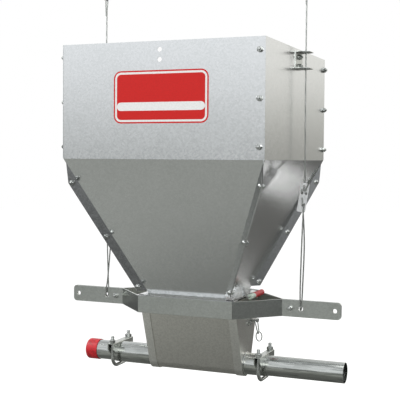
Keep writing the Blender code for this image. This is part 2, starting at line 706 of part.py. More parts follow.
def lock_pin(mats):
    """Lock pin through the right end plate, with its link and pull ring, and the stud."""
    z = PIN_Z
    y = 0.027
    steel = mats["plain_steel"]
    s0 = BOOT_X - 0.012
    rings = [circle(0.0022, s0 - 0.002, "X", (0, y, z), 16), circle(0.0030, s0, "X", (0, y, z), 16),
             circle(0.0030, BOOT_X + GAP + CAP_T + 0.0005, "X", (0, y, z), 16),
             circle(0.0046, BOOT_X + GAP + CAP_T + 0.0005, "X", (0, y, z), 16),
             circle(0.0046, 0.1285, "X", (0, y, z), 16), circle(0.0036, 0.1300, "X", (0, y, z), 16)]
    pin = loft("lock_pin", rings, steel, 40)
    eye = turned("pin_eye", [(0.0020, -0.01), (0.0020, 0.01)], "Y", (0.1250, y, z - 0.0004), None, 12)
    boolean(pin, eye)
    x = 0.1250
    link = [(x, y - 0.0068, z - 0.0060), (x, y - 0.0060, z - 0.0010), (x, y, z - 0.0004),
            (x, y + 0.0060, z - 0.0010), (x, y + 0.0100, z - 0.0080), (x, y + 0.0180, z - 0.0270),
            (x, y + 0.0165, z - 0.0315), (x, y + 0.0125, z - 0.0330), (x, y + 0.0090, z - 0.0290)]
    wire("pull_link", link, 0.0013, steel, cyclic=True)
    ring = []
    centre = Vector((x, y + 0.0190, z - 0.0399))
    lean = Vector((0.0, math.sin(math.radians(24)), -math.cos(math.radians(24))))
    cross = Vector((0.80, 0.60 * lean.z * -1, 0.60 * lean.y)).normalized()
    for i in range(20):
        a = 2 * math.pi * i / 20
        ring.append(centre + lean * (0.0125 * math.cos(a)) + cross * (0.0068 * math.sin(a)))
    wire("pull_ring", ring, 0.0012, mats["bright_wire"], cyclic=True)
    fastener("end_cap_stud", "X", (BOOT_X + GAP + CAP_T / 2, 0.010, STUD_Z), 1,
             mats["zinc_fastener"], grip=CAP_T + 2 * GAP)


def tubes(mats):
    """Auger tube, anchor tube, red end cap and the clamps."""
    zinc = mats["galvanised_tube"]
    axis = (0, 0, TUBE_Z)
    tube("auger_tube", TUBE_R, TUBE_R - TUBE_WALL, BOOT_X + 0.004, TUBE_END, "X", axis, zinc, 32)
    tube("anchor_tube", TUBE_R, TUBE_R - TUBE_WALL, ANCHOR_END, -BOOT_X - 0.004, "X", axis, zinc, 32)
    profile = [(TUBE_R + GAP, ANCHOR_END - GAP), (TUBE_R + GAP, RED_X1), (RED_R, RED_X1),
               (RED_R, RED_X0 + 0.007), (RED_R - 0.0016, RED_X0 + 0.0030),
               (RED_R - 0.0060, RED_X0 + 0.0004), (RED_R - 0.0100, RED_X0)]
    turned("tube_end_cap", [(0.0150, ANCHOR_END - GAP)] + profile, "X", axis, mats["red_plastic"], 32)
    for label, x in CLAMP_XS:
        clamp(label, x, mats)


def clamp(label, x, mats):
    """A channel saddle across the tube, a U-bolt under it and two nuts."""
    t = 0.0020
    half = 0.0075
    web = TUBE_Z + COLLAR_R + GAP
    deep = 0.024
    outline = [(-half, web - deep), (-half + t, web - deep), (-half + t, web), (half - t, web),
               (half - t, web - deep), (half, web - deep), (half, web + t), (-half, web + t)]
    rings = []
    for y in (-CLAMP_HALF, CLAMP_HALF):
        rings.append([(x + u, y, v) for u, v in outline])
    saddle = loft("clamp_saddle_" + label, rings, mats["galvanised_bar"])
    tools = [turned("saddle_arc_" + label, [(COLLAR_R + GAP, -0.02), (COLLAR_R + GAP, 0.02)], "X",
                    (x, 0, TUBE_Z), None, 32)]
    for k in (-1, 1):
        corner = [(k * (CLAMP_HALF + 0.001), web - deep - 0.001),
                  (k * (CLAMP_HALF - 0.014), web - deep - 0.001),
                  (k * (CLAMP_HALF + 0.001), web - deep + 0.014)]
        tools.append(prism("saddle_corner_%s_%d" % (label, k), corner, "X", -0.02, 0.02, None,
                           (x, 0, 0)))
        tools.append(turned("leg_hole_%s_%d" % (label, k), [(UBOLT_R + GAP, -0.01),
                            (UBOLT_R + GAP, 0.01)], "Z", (x, k * LEG_Y, web), None, 16))
    boolean(saddle, join("saddle_cutter_" + label, tools))
    bend = 0.024
    low = TUBE_Z - COLLAR_R - UBOLT_R - GAP
    path = [(-LEG_Y, web + 0.0175)]
    path += arc((-LEG_Y + bend, low + bend), bend, 180, 270, 7)
    path += arc((LEG_Y - bend, low + bend), bend, 270, 360, 7)
    path += [(LEG_Y, web + 0.0175)]
    wire("u_bolt_" + label, [(x, y, z) for y, z in path], UBOLT_R, mats["bright_wire"])
    for name, k in (("front", -1), ("back", 1)):
        centre = (x, k * LEG_Y, web + t + GAP)
        rings = [hexagon(0.0065, 0.0, "Z", centre), hexagon(0.0065, 0.0068, "Z", centre),
                 circle(UBOLT_R + GAP, 0.0068, "Z", centre, 12, 0),
                 circle(UBOLT_R + GAP, 0.0, "Z", centre, 12, 0)]
        loft("clamp_nut_%s_%s" % (label, name), rings, mats["zinc_fastener"], hollow=True)


def auger(mats):
    """Flat-bar helix in one unbroken run, its drive stub and the bearing in the anchor tube."""
    radial, axial = AUGER_BAR
    length = AUGER_X1 - AUGER_X0
    per_turn = 14
    steps = int(round(length / AUGER_PITCH * per_turn))
    rings = []
    centre_line = []
    for i in range(steps + 1):
        a = 2 * math.pi * i / per_turn
        x = AUGER_X0 + length * i / steps
        ring = []
        for r, w in ((AUGER_R - radial, -axial / 2), (AUGER_R, -axial / 2),
                     (AUGER_R, axial / 2), (AUGER_R - radial, axial / 2)):
            ring.append((x + w, r * math.cos(a), TUBE_Z + r * math.sin(a)))
        rings.append(ring)
        centre_line.append(x)
    loft("auger_helix", rings, mats["plain_steel"])
    turn_gap = (centre_line[per_turn] - centre_line[0]) - axial
    print("least gap of the auger to itself %.2f mm" % (turn_gap * 1000))
    hub = [(0.0095, BEARING_X + 0.0105), (0.0095, AUGER_X0 - 0.004), (0.0120, AUGER_X0 - 0.0038),
           (0.0120, AUGER_X0 + 0.030), (0.0060, AUGER_X0 + 0.034)]
    turned("auger_drive_stub", [(0.0060, BEARING_X - 0.014), (0.0060, BEARING_X + 0.0103)] + hub, "X",
           (0, 0, TUBE_Z), mats["plain_steel"], 20)
    bore = TUBE_R - TUBE_WALL - GAP
    tube("anchor_bearing", bore, 0.0060 + GAP, BEARING_X - 0.010, BEARING_X + 0.010, "X",
         (0, 0, TUBE_Z), mats["plain_steel"], 32)


def adjuster(label, s, mats):
    """The leaning adjuster plate of one cable, with its holes."""
    top = Vector((s * (CABLE_X + 0.0029), BEND_Z - 0.0488))
    low = Vector((s * (CABLE_X - 0.0072), BEND_Z - 0.1100))
    down = (low - top).normalized()
    across = Vector((-down.y, down.x))
    outline = []
    for d, w in ((0, -0.0075), (0, 0.0075), (0.0015, 0.0090), (0.0605, 0.0090), (0.0620, 0.0075),
                 (0.0620, -0.0075), (0.0605, -0.0090), (0.0015, -0.0090)):
        p = top + down * d + across * w
        outline.append((p.x, p.y))
    plate = prism("adjuster_plate_" + label, outline, "Y", -PLATE_T / 2, PLATE_T / 2,
                  mats["galvanised_bar"])
    tools = []
    holes = []
    for i, (d, w) in enumerate(((0.0075, -0.0020), (0.0215, -0.0045), (0.0215, 0.0045),
                                (0.0470, 0.0020))):
        p = top + down * d + across * (s * w)
        holes.append((p.x, p.y))
        tools.append(turned("adjuster_hole_%s_%d" % (label, i), [(0.0033, -0.01), (0.0033, 0.01)],
                            "Y", (p.x, 0, p.y), None, 16))
    boolean(plate, join("adjuster_holes_" + label, tools))
    return holes


def through(x, z, start, way):
    """Route points through a plate hole: start is the side of the plate, way the run in Z."""
    points = []
    for y, dz in ((0.0028, -0.0074), (0.0033, -0.0020), (0.0, 0.0), (-0.0033, 0.0020),
                  (-0.0028, 0.0074)):
        points.append((x, y * start, z + dz * way))
    return points


def cables(mats):
    """Hooks, hanging cables with their tails, adjuster plates and the loops through the ears."""
    steel = mats["wire_rope"]
    zc = STRAP_TOP - STRAP_H / 2
    ear = EAR_HOLES[1][0]
    for label, s in (("right", 1), ("left", -1)):
        holes = adjuster(label, s, mats)
        x = s * CABLE_X
        hook = [(x, 0, 0.0), (x, 0, -0.0070)]
        hook += [(x + s * u, 0, v) for u, v in arc((0.0, -0.0150), 0.0080, 90, -150, 12)]
        wire("ceiling_hook_" + label, hook[0:1] + hook[2:], 0.0022, mats["bright_wire"])
        (ax, az), (bx, bz), (cx, cz), (dx, dz) = holes
        eye_z = -0.0230 + 0.0022 + CABLE_R + 0.0004
        route = [(x, -0.0030, -0.0600), (x, -0.0034, -0.0450), (x, -0.0043, eye_z - 0.0120),
                 (x, -0.0043, eye_z - 0.0045), (x, -0.0031, eye_z - 0.0009), (x, 0, eye_z + 0.0004),
                 (x, 0.0031, eye_z - 0.0009), (x, 0.0043, eye_z - 0.0045),
                 (x, 0.0040, eye_z - 0.0120), (x, 0.0010, -0.0450), (x, 0.0006, -0.0600),
                 (x, 0, -0.110), (x, 0, GUIDE_TOP), (x, 0, GUIDE_TOP - GUIDE_H),
                 (x, 0.0012, BEND_Z + 0.10), (x + s * 0.0005, 0.0034, BEND_Z - 0.030),
                 *through(ax, az, 1, -1), *through(bx, bz, -1, -1), *through(cx, cz, 1, 1),
                 (x + s * 0.0115, -0.0052, BEND_Z - 0.048),
                 (x + s * 0.0205, -0.0052, BEND_Z - 0.032),
                 (x + s * 0.0309, -0.0052, BEND_Z - 0.0162)]
        wire("hanging_cable_" + label, smooth_route(route, 3), CABLE_R, steel, resolution=1)
        flare = 0.0 if s > 0 else 0.0120     # the left loop hangs slacker
        lower = [(dx - s * 0.0010, -0.0030, dz + 0.016), *through(dx, dz, -1, -1),
                 (x, 0.0058, zc + 0.1381), (x - s * 0.0025, 0.0060, zc + 0.0481),
                 (s * ear, 0.0064, zc + 0.0120), (s * ear, 0.0056, zc + 0.0010),
                 (s * ear, 0.0, zc - 0.0036), (s * ear, -0.0056, zc + 0.0010),
                 (s * ear, -0.0064, zc + 0.0120),
                 (x - s * (0.0045 + 0.35 * flare), -0.0060, zc + 0.0481),
                 (x - s * (0.0025 + flare), -0.0058, zc + 0.1381),
                 (dx + s * 0.0022, -0.0034, dz - 0.012), (dx + s * 0.0046, -0.0030, dz + 0.004)]
        wire("ear_loop_" + label, smooth_route(lower, 3), CABLE_R, steel, resolution=1)


def build():
    """Build every piece."""
    collections()
    mats = {
        "galvanised_sheet": material("galvanised_sheet", (0.60, 0.62, 0.60), 0.35, 1.0),
        "galvanised_bar": material("galvanised_bar", (0.55, 0.57, 0.56), 0.4, 1.0),
        "galvanised_tube": material("galvanised_tube", (0.62, 0.64, 0.63), 0.35, 1.0),
        "zinc_fastener": material("zinc_fastener", (0.62, 0.63, 0.62), 0.4, 1.0),
        "plain_steel": material("plain_steel", (0.25, 0.25, 0.25), 0.5, 1.0),
        "bright_wire": material("bright_wire", (0.7, 0.71, 0.71), 0.3, 1.0),
        "wire_rope": material("wire_rope", (0.5, 0.51, 0.51), 0.45, 1.0),
        "red_plastic": material("red_plastic", (0.55, 0.02, 0.03), 0.4, 0.0),
        "pale_plastic": material("pale_plastic", (0.72, 0.80, 0.72), 0.4, 0.0),
    }
    panels(mats)
    corner_fasteners(mats)
    cable_guides(mats)
    gate_parts(mats)
    straps(mats)
    boot(mats)
    lock_pin(mats)
    tubes(mats)
    auger(mats)
    cables(mats)
    bpy.context.view_layer.update()


build()
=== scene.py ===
"""Suspended feed hopper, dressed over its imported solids. Metres, +Z up, the front is -Y."""
import logging
import math
from dataclasses import dataclass
from enum import Enum
from typing import Optional, Sequence

import bmesh
import bpy
import numpy as np
from mathutils import Matrix, Vector


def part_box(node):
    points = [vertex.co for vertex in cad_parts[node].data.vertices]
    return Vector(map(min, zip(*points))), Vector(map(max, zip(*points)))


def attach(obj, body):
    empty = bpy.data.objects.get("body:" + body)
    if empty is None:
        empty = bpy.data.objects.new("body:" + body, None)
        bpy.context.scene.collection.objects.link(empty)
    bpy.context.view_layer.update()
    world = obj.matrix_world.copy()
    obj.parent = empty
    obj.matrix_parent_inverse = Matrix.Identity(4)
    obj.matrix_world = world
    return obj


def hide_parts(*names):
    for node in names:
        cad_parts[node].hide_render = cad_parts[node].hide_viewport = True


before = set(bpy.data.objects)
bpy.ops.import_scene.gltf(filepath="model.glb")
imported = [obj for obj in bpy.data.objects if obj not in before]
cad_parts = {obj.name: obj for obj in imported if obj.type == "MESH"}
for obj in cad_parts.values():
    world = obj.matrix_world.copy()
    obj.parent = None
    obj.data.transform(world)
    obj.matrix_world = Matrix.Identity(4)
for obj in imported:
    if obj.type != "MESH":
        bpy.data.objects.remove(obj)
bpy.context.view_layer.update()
LOG = logging.getLogger("feed_hopper")

Numbers = Sequence[float]
Pair = tuple[float, float]
Triple = tuple[float, float, float]
Colour = tuple[float, float, float, float]
Tree = bpy.types.NodeTree
Socket = bpy.types.NodeSocket
Piece = bpy.types.Object
Material = bpy.types.Material

BEND_Z = -0.390            # bend line between the box and the cone
STRAP_TOP = BEND_Z - 0.2996
STRAP_H = 0.037
TUBE_Z = BEND_Z - 0.448    # axis of the tubes
HALF_BOX = 0.222           # from the middle to the box's outside
CONE_H = 0.294
ROPE_STEPS = 5             # curve points for each stretch of a rope


class Axis(Enum):
    """Direction that a turned or threaded piece runs along."""

    X = 0
    Y = 1
    Z = 2


# Meshes


def grid_mesh(name: str, points: np.ndarray, wrap_u: bool = False, wrap_v: bool = False,
              caps: bool = False, smooth: float = 40.0) -> Piece:
    """Turn a grid of points into a surface of quads.

    Formula: the face at row i and column j joins points (i, j), (i, j+1), (i+1, j+1), (i+1, j).

    Args:
        name: name of the piece.
        points: array of rows by columns by 3, in metres.
        wrap_u: the last row meets the first.
        wrap_v: the last column meets the first.
        caps: close the first and the last row with a flat face.
        smooth: edges sharper than this many degrees stay sharp.

    Returns:
        The new object, at the origin.
    """
    rows, cols = points.shape[:2]
    i = np.arange(rows if wrap_u else rows - 1)
    j = np.arange(cols if wrap_v else cols - 1)
    gi, gj = np.meshgrid(i, j, indexing="ij")
    ni, nj = (gi + 1) % rows, (gj + 1) % cols
    quads = np.stack([gi * cols + gj, gi * cols + nj, ni * cols + nj, ni * cols + gj], axis=-1)
    faces = [tuple(q) for q in quads.reshape(-1, 4).tolist()]
    if caps:
        faces.append(tuple(range(cols)))
        faces.append(tuple(range(rows * cols - 1, (rows - 1) * cols - 1, -1)))
    mesh = bpy.data.meshes.new(name)
    mesh.from_pydata(points.reshape(-1, 3).tolist(), [], faces)
    bm = bmesh.new()
    bm.from_mesh(mesh)
    bpy.data.meshes.remove(mesh)
    bmesh.ops.remove_doubles(bm, verts=bm.verts, dist=1e-6)
    bmesh.ops.recalc_face_normals(bm, faces=bm.faces)
    if bm.calc_volume(signed=True) < 0:
        bmesh.ops.reverse_faces(bm, faces=bm.faces)
    return placed(name, bm, smooth)


def placed(name: str, bm: bmesh.types.BMesh, smooth: float = 40.0) -> Piece:
    """Turn an edited mesh into a linked piece.

    Args:
        name: name of the piece.
        bm: its mesh, which is freed.
        smooth: edges sharper than this many degrees stay sharp.

    Returns:
        The linked object.
    """
    mesh = bpy.data.meshes.new(name)
    bm.to_mesh(mesh)
    bm.free()
    mesh.shade_smooth()
    mesh.set_sharp_from_angle(angle=math.radians(smooth))
    obj = bpy.data.objects.new(name, mesh)
    bpy.context.scene.collection.objects.link(obj)
    return obj


def merged(name: str, objs: Sequence[Piece]) -> Piece:
    """Join pieces of one finish into one mesh with this name, and remove them."""
    bm = bmesh.new()
    for obj in objs:
        bm.from_mesh(obj.data)
        bpy.data.objects.remove(obj, do_unlink=True)
    return placed(name, bm)


def posed(*columns: Numbers) -> Matrix:
    """A matrix from its three axes and its place."""
    matrix = Matrix.Identity(4)
    for i, column in enumerate(columns):
        matrix.col[i][:3] = column
    return matrix


def along(axis: Axis, centre: Numbers, u: np.ndarray, v: np.ndarray, w: np.ndarray) -> np.ndarray:
    """Points at w along an axis from a centre, and at u and v across it."""
    order = {Axis.X: (w, u, v), Axis.Y: (u, w, v), Axis.Z: (u, v, w)}[axis]
    return np.stack(np.broadcast_arrays(*order), axis=-1) + np.asarray(centre, float)


def turned(name: str, profile: Sequence[Pair], axis: Axis, centre: Numbers, sides: int,
           closed: bool = False) -> Piece:
    """Turn a profile about an axis.

    Formula: point (i, j) is radius i times (cos, sin) of angle j, at height i.

    Args:
        name: name of the piece.
        profile: (radius, distance along) pairs.
        axis: axis of the turn.
        centre: a point on it.
        sides: segments round the turn.
        closed: the profile is a closed ring, as of a tube.

    Returns:
        The turned piece.
    """
    prof = np.asarray(profile, float)
    ang = (np.arange(sides) + 0.5) * 2 * np.pi / sides
    r, w = prof[:, :1], prof[:, 1:]
    pts = along(axis, centre, r * np.cos(ang), r * np.sin(ang), w + 0 * ang)
    return grid_mesh(name, pts, wrap_u=closed, wrap_v=True, caps=not closed, smooth=35)


def swept(name: str, path: np.ndarray, radius: float, normal: Numbers, sides: int,
          thread: Triple) -> Piece:
    """Carry a round section along a flat path.

    Formula: with t the unit tangent and n the plane's normal, point (i, j) is
    path i plus radius times (cos of angle j times n plus sin of angle j times t cross n).

    Args:
        name: name of the piece.
        path: points of the centreline, all in one plane.
        radius: radius of the section.
        normal: normal of that plane.
        sides: segments round the section.
        thread: pitch, depth and length of thread at each end, in metres.

    Returns:
        The swept piece.
    """
    n = np.asarray(normal, float) / np.linalg.norm(normal)
    tangent = np.gradient(path, axis=0)
    tangent /= np.linalg.norm(tangent, axis=1, keepdims=True)
    side = np.cross(tangent, n)
    ang = np.arange(sides) * 2 * np.pi / sides
    pitch, depth, reach = thread
    run = np.concatenate([[0.0], np.cumsum(np.linalg.norm(np.diff(path, axis=0), axis=1))])
    near = np.minimum(run, run[-1] - run)
    phase = run[:, None] / pitch + ang[None, :] / (2 * np.pi)
    wave = np.abs((phase % 1.0) * 2 - 1)
    r = radius - depth * wave * (near < reach)[:, None]
    pts = path[:, None, :] + r[:, :, None] * (np.cos(ang)[None, :, None] * n
                                              + np.sin(ang)[None, :, None] * side[:, None, :])
    return grid_mesh(name, pts, wrap_v=True, caps=True, smooth=50)


def smooth_line(route: Sequence[Numbers], steps: int) -> np.ndarray:
    """A smooth curve through given points.

    Formula: between two points the curve is the cubic that takes its slope at each point from
    the points on either side of it.

    Args:
        route: the points.
        steps: curve points for each stretch.

    Returns:
        Array of points.
    """
    p = np.asarray(route, float)
    p = np.vstack([2 * p[:1] - p[1:2], p, 2 * p[-1:] - p[-2:-1]])
    t = (np.arange(steps) / steps)[None, :, None]
    a, b, c, d = p[:-3, None], p[1:-2, None], p[2:-1, None], p[3:, None]
    cubic = 0.5 * (2 * b + (c - a) * t + (2 * a - 5 * b + 4 * c - d) * t ** 2
                   + (3 * b - a - 3 * c + d) * t ** 3)
    return np.vstack([cubic.reshape(-1, 3), p[-2:-1]])


def arc(centre: Numbers, radius: float, start: float, end: float, count: int) -> list[Pair]:
    """The (u, v) points of an arc, from its start to its end in degrees."""
    a = np.radians(np.linspace(start, end, count))
    return list(zip((centre[0] + radius * np.cos(a)).tolist(),
                    (centre[1] + radius * np.sin(a)).tolist()))


def hex_nut(name: str, flat: float, height: float, bore: float, axis: Axis,
            centre: Numbers, sign: float, turn: float) -> Piece:
    """A hexagon nut with the curved chamfer of a turned blank.

    Formula: the radius at an angle is the smaller of the hexagon's own radius there and that
    of a cone, which grows from the end faces at about 30 degrees.

    Args:
        name: name of the piece.
        flat: half the width across flats.
        height: its height.
        bore: radius of its hole.
        axis: its axis.
        centre: the middle of its seat.
        sign: which way along the axis it stands.
        turn: degrees it is turned about the axis.

    Returns:
        The nut.
    """
    ang = np.arange(72) * 2 * np.pi / 72
    hexagon = flat / np.cos(ang % (np.pi / 3) - np.pi / 6)
    corner = flat / math.cos(math.pi / 6)
    rise = 0.12 * height      # height of each chamfer
    heights = np.array([0.0, 0.0, rise * 0.5, rise, height - rise, height - rise * 0.5, height, height])
    drop = np.array([0.9, 0.9, 0.45, 0.0, 0.0, 0.45, 0.9, 0.9])
    r = np.minimum(hexagon, (corner - drop * (corner - flat * 0.97))[:, None])
    r[[0, -1]] = bore
    a = ang + math.radians(turn)
    pts = along(axis, centre, r * np.cos(a), r * np.sin(a), sign * heights[:, None] + 0 * a)
    return grid_mesh(name, pts, wrap_u=True, wrap_v=True, smooth=28)


def stud_tip(name: str, radius: float, start: float, end: float, axis: Axis, centre: Numbers) -> Piece:
    """A threaded stud end.

    Formula: the radius falls by the thread's depth, 0.55 of its pitch, in a saw wave of distance
    plus turn.

    Args:
        name: name of the piece.
        radius: outer radius.
        start: where it starts along the axis.
        end: where it ends.
        axis: its axis.
        centre: a point on the axis.

    Returns:
        The stud.
    """
    pitch = 0.001
    w = np.linspace(start, end, max(6, int(abs(end - start) / pitch * 5)))
    ang = np.arange(24) * 2 * np.pi / 24
    phase = w[:, None] / pitch + ang[None, :] / (2 * np.pi)
    r = radius - 0.55 * pitch * np.abs((phase % 1.0) * 2 - 1)
    r[-1] *= 0.86             # the tip is chamfered
    pts = along(axis, centre, r * np.cos(ang), r * np.sin(ang), w[:, None] + 0 * ang)
    return grid_mesh(name, pts, wrap_v=True, caps=True, smooth=60)


# Finishes


def linear(code: str) -> Colour:
    """Turn six hex digits of sRGB into linear RGBA."""
    srgb = np.array([int(code[i:i + 2], 16) / 255 for i in (0, 2, 4)])
    lin = np.where(srgb <= 0.04045, srgb / 12.92, ((srgb + 0.055) / 1.055) ** 2.4)
    return (*lin.tolist(), 1.0)


def add_node(tree: Tree, kind: str, inputs: Optional[dict] = None,
             links: Optional[dict] = None, **settings: object) -> bpy.types.Node:
    """Add a node with its settings, socket values and incoming links.

    Args:
        tree: the node tree.
        kind: the node's type name.
        inputs: socket name or number to value.
        links: socket name or number to the output that feeds it.
        settings: properties of the node.

    Returns:
        The node.
    """
    node = tree.nodes.new(kind)
    for key, value in settings.items():
        setattr(node, key, value)
    for key, value in (inputs or {}).items():
        node.inputs[key].default_value = value
    for key, value in (links or {}).items():
        tree.links.new(value, node.inputs[key])
    return node


def blank(name: str) -> tuple:
    """A new material, its tree, its shader node and the outputs of its coordinates."""
    mat = bpy.data.materials.new(name)
    mat.use_nodes = True
    tree = mat.node_tree
    tree.nodes.clear()
    shader = add_node(tree, "ShaderNodeBsdfPrincipled")
    add_node(tree, "ShaderNodeOutputMaterial", links={"Surface": shader.outputs["BSDF"]})
    return mat, tree, shader, add_node(tree, "ShaderNodeTexCoord").outputs


def ramp(tree: Tree, source: Socket, stops: Sequence[tuple[float, tuple]]) -> Socket:
    """A colour ramp on a value, from its stops of position and colour."""
    node = add_node(tree, "ShaderNodeValToRGB", links={"Fac": source})
    items = node.color_ramp.elements
    while len(items) < len(stops):
        items.new(0.5)
    for item, (pos, colour) in zip(items, stops):
        item.position = pos
        item.color = colour
    return node.outputs["Color"]


def grey(value: float) -> Colour:
    """A grey as RGBA."""
    return (value, value, value, 1.0)


def calc(tree: Tree, operation: str, *values: object) -> Socket:
    """One step of arithmetic on sockets, which are linked, and numbers, which are set."""
    links = {i: v for i, v in enumerate(values) if isinstance(v, Socket)}
    numbers = {i: v for i, v in enumerate(values) if i not in links}
    return add_node(tree, "ShaderNodeMath", numbers, links, operation=operation).outputs[0]


def spread(tree: Tree, value: Socket, given: Numbers,
           wanted: Numbers = (0.0, 1.0), kind: str = "SMOOTHSTEP") -> Socket:
    """Carry a value from one range to another.

    Args:
        tree: the node tree.
        value: the value.
        given: both ends of its own range.
        wanted: what it becomes there; it stays there past them.
        kind: how it goes from one to the other.

    Returns:
        The new value.
    """
    ends = zip(("From Min", "From Max", "To Min", "To Max"), (*given, *wanted))
    return add_node(tree, "ShaderNodeMapRange", dict(ends), {"Value": value},
                    interpolation_type=kind).outputs["Result"]


def noise(tree: Tree, where: Socket, size_mm: float, **more: float) -> Socket:
    """Noise of a size in millimetres."""
    return add_node(tree, "ShaderNodeTexNoise", {"Scale": 1000 / size_mm, **more},
                    {"Vector": where}).outputs["Fac"]


def relief(tree: Tree, height: Socket, strength: float, depth: float, **more: Socket) -> Socket:
    """The normal of a surface with a faint relief, depth in metres."""
    return add_node(tree, "ShaderNodeBump", {"Strength": strength, "Distance": depth},
                    {"Height": height, **more}).outputs["Normal"]


def facing(tree: Tree, where: Socket, way: Numbers) -> Socket:
    """How far a place or a direction lies along a way."""
    return add_node(tree, "ShaderNodeVectorMath", {1: way}, {0: where},
                    operation="DOT_PRODUCT").outputs["Value"]


def scaled(tree: Tree, colour: Socket, share: Socket) -> Socket:
    """A colour made brighter or darker by a value."""
    return add_node(tree, "ShaderNodeVectorMath", links={0: colour, "Scale": share},
                    operation="SCALE").outputs["Vector"]


def connect(tree: Tree, shader: bpy.types.Node, tone: Socket,
            rough: object, normal: Socket, metallic: float) -> None:
    """Feed a shader.

    Args:
        tree: the node tree.
        shader: the shader.
        tone: its colour.
        rough: its roughness, as a value that varies or as one number.
        normal: its relief.
        metallic: 1 for metal, 0 for anything else.
    """
    tree.links.new(tone, shader.inputs["Base Color"])
    tree.links.new(normal, shader.inputs["Normal"])
    if isinstance(rough, float):
        shader.inputs["Roughness"].default_value = rough
    else:
        tree.links.new(rough, shader.inputs["Roughness"])
    shader.inputs["Metallic"].default_value = metallic


@dataclass(frozen=True)
class GalvanisedSteel:
    """Hot-dip zinc on rolled steel: a cool silver mirror broken by crystal spangle and handling haze."""

    name: str
    light: str = "E4E5E5"
    dark: str = "D4D6D5"
    rough: Pair = (0.21, 0.26)
    spangle_mm: float = 3.2
    haze_mm: float = 140.0
    wave_mm: float = 95.0
    grain_mm: float = 0.02     # depth of the finest relief
    stretch: Triple = (1.0, 1.0, 1.0)

    def make(self) -> Material:
        """Build the finish.

        Returns:
            The material.
        """
        mat, tree, shader, coords = blank(self.name)
        where = add_node(tree, "ShaderNodeVectorMath", {1: self.stretch}, {0: coords["Object"]},
                         operation="MULTIPLY").outputs["Vector"]
        # spangle: crystals of about spangle_mm, each with its own brightness and gloss
        spangle = add_node(tree, "ShaderNodeTexVoronoi", {"Scale": 1000 / self.spangle_mm},
                           {"Vector": where}).outputs["Color"]
        crystal = add_node(tree, "ShaderNodeSeparateColor", links={"Color": spangle}).outputs["Red"]
        fine = noise(tree, where, self.spangle_mm * 0.35, Detail=4.0, Roughness=0.6)
        haze = noise(tree, where, self.haze_mm, Detail=3.0, Roughness=0.55)
        mixed = calc(tree, "MULTIPLY", crystal, 0.45)
        mixed = calc(tree, "MULTIPLY_ADD", fine, 0.35, mixed)
        mixed = calc(tree, "MULTIPLY_ADD", haze, 0.35, mixed)
        tone = ramp(tree, mixed, ((0.25, linear(self.dark)), (0.85, linear(self.light))))
        gloss = spread(tree, mixed, (0.3, 0.9), self.rough, "LINEAR")
        # rolled sheet is never quite flat, so its reflections wander
        wave = relief(tree, noise(tree, where, self.wave_mm, Detail=1.0), 0.05, 0.004)
        skin = relief(tree, fine, 0.03, self.grain_mm / 1000, Normal=wave)
        connect(tree, shader, tone, gloss, skin, 1.0)
        return mat


@dataclass(frozen=True)
class ZincPlate:
    """Bright electroplated zinc on cold-headed steel: even silver with fine tool marks."""

    name: str
    light: str
    dark: str
    rough: Pair
    grain_mm: float = 1.2

    def make(self) -> Material:
        """Build the finish.

        Returns:
            The material.
        """
        mat, tree, shader, coords = blank(self.name)
        grain = noise(tree, coords["Object"], self.grain_mm, Detail=5.0, Roughness=0.65)
        tone = ramp(tree, grain, ((0.3, linear(self.dark)), (0.7, linear(self.light))))
        gloss = spread(tree, grain, (0.3, 0.7), self.rough, "LINEAR")
        connect(tree, shader, tone, gloss, relief(tree, grain, 0.15, 0.0001), 1.0)
        return mat


@dataclass(frozen=True)
class MouldedPlastic:
    """Injection-moulded PVC or polythene: soft sheen, faint flow marks and a little dust."""

    name: str
    colour: str
    wear_and_shade: str
    rough: float = 0.38
    flow_mm: float = 9.0
    grain_mm: float = 0.6

    def make(self) -> Material:
        """Build the finish.

        Returns:
            The material.
        """
        mat, tree, shader, coords = blank(self.name)
        flow = noise(tree, coords["Object"], self.flow_mm, Detail=6.0, Distortion=0.8)
        tone = ramp(tree, flow, ((0.35, linear(self.wear_and_shade)), (0.6, linear(self.colour))))
        gloss = spread(tree, flow, (0.0, 1.0), (self.rough - 0.08, self.rough + 0.14), "LINEAR")
        grain = noise(tree, coords["Object"], self.grain_mm, Detail=2.0)
        connect(tree, shader, tone, gloss, relief(tree, grain, 0.12, 0.00005), 0.0)
        shader.inputs["IOR"].default_value = 1.5
        return mat


@dataclass(frozen=True)
class WireRope:
    """Galvanised stranded rope: silver strands that wind round it, with painted shade in the grooves
    between them.
    """

    name: str
    light: str = "C4C6C2"
    dark: str = "868985"
    rough: float = 0.36
    lay_mm: float = 7.0      # drawn coarser than the real strand spacing, so that it shows

    def make(self, length: float) -> Material:
        """Build the finish for one rope.

        Args:
            length: the rope's length in metres, for the pattern along it.

        Returns:
            The material.
        """
        mat, tree, shader, coords = blank(self.name)
        # U runs along the rope and V round it, so a line that grows with both winds round it
        split = add_node(tree, "ShaderNodeSeparateXYZ", links={"Vector": coords["UV"]}).outputs
        turns = calc(tree, "MULTIPLY", split["X"], length * 1000 / self.lay_mm)
        phase = calc(tree, "FRACT", calc(tree, "MULTIPLY_ADD", split["Y"], 2.0, turns))
        groove = calc(tree, "ABSOLUTE", calc(tree, "SUBTRACT", phase, 0.5))
        # painted shade: the tone darkens into the grooves between strands
        tone = ramp(tree, groove, ((0.0, linear(self.light)), (0.5, linear(self.dark))))
        # the strands are highest where the value is lowest
        normal = add_node(tree, "ShaderNodeBump", {"Strength": 0.5, "Distance": 0.0003},
                          {"Height": groove}, invert=True).outputs["Normal"]
        connect(tree, shader, tone, self.rough, normal, 1.0)
        return mat


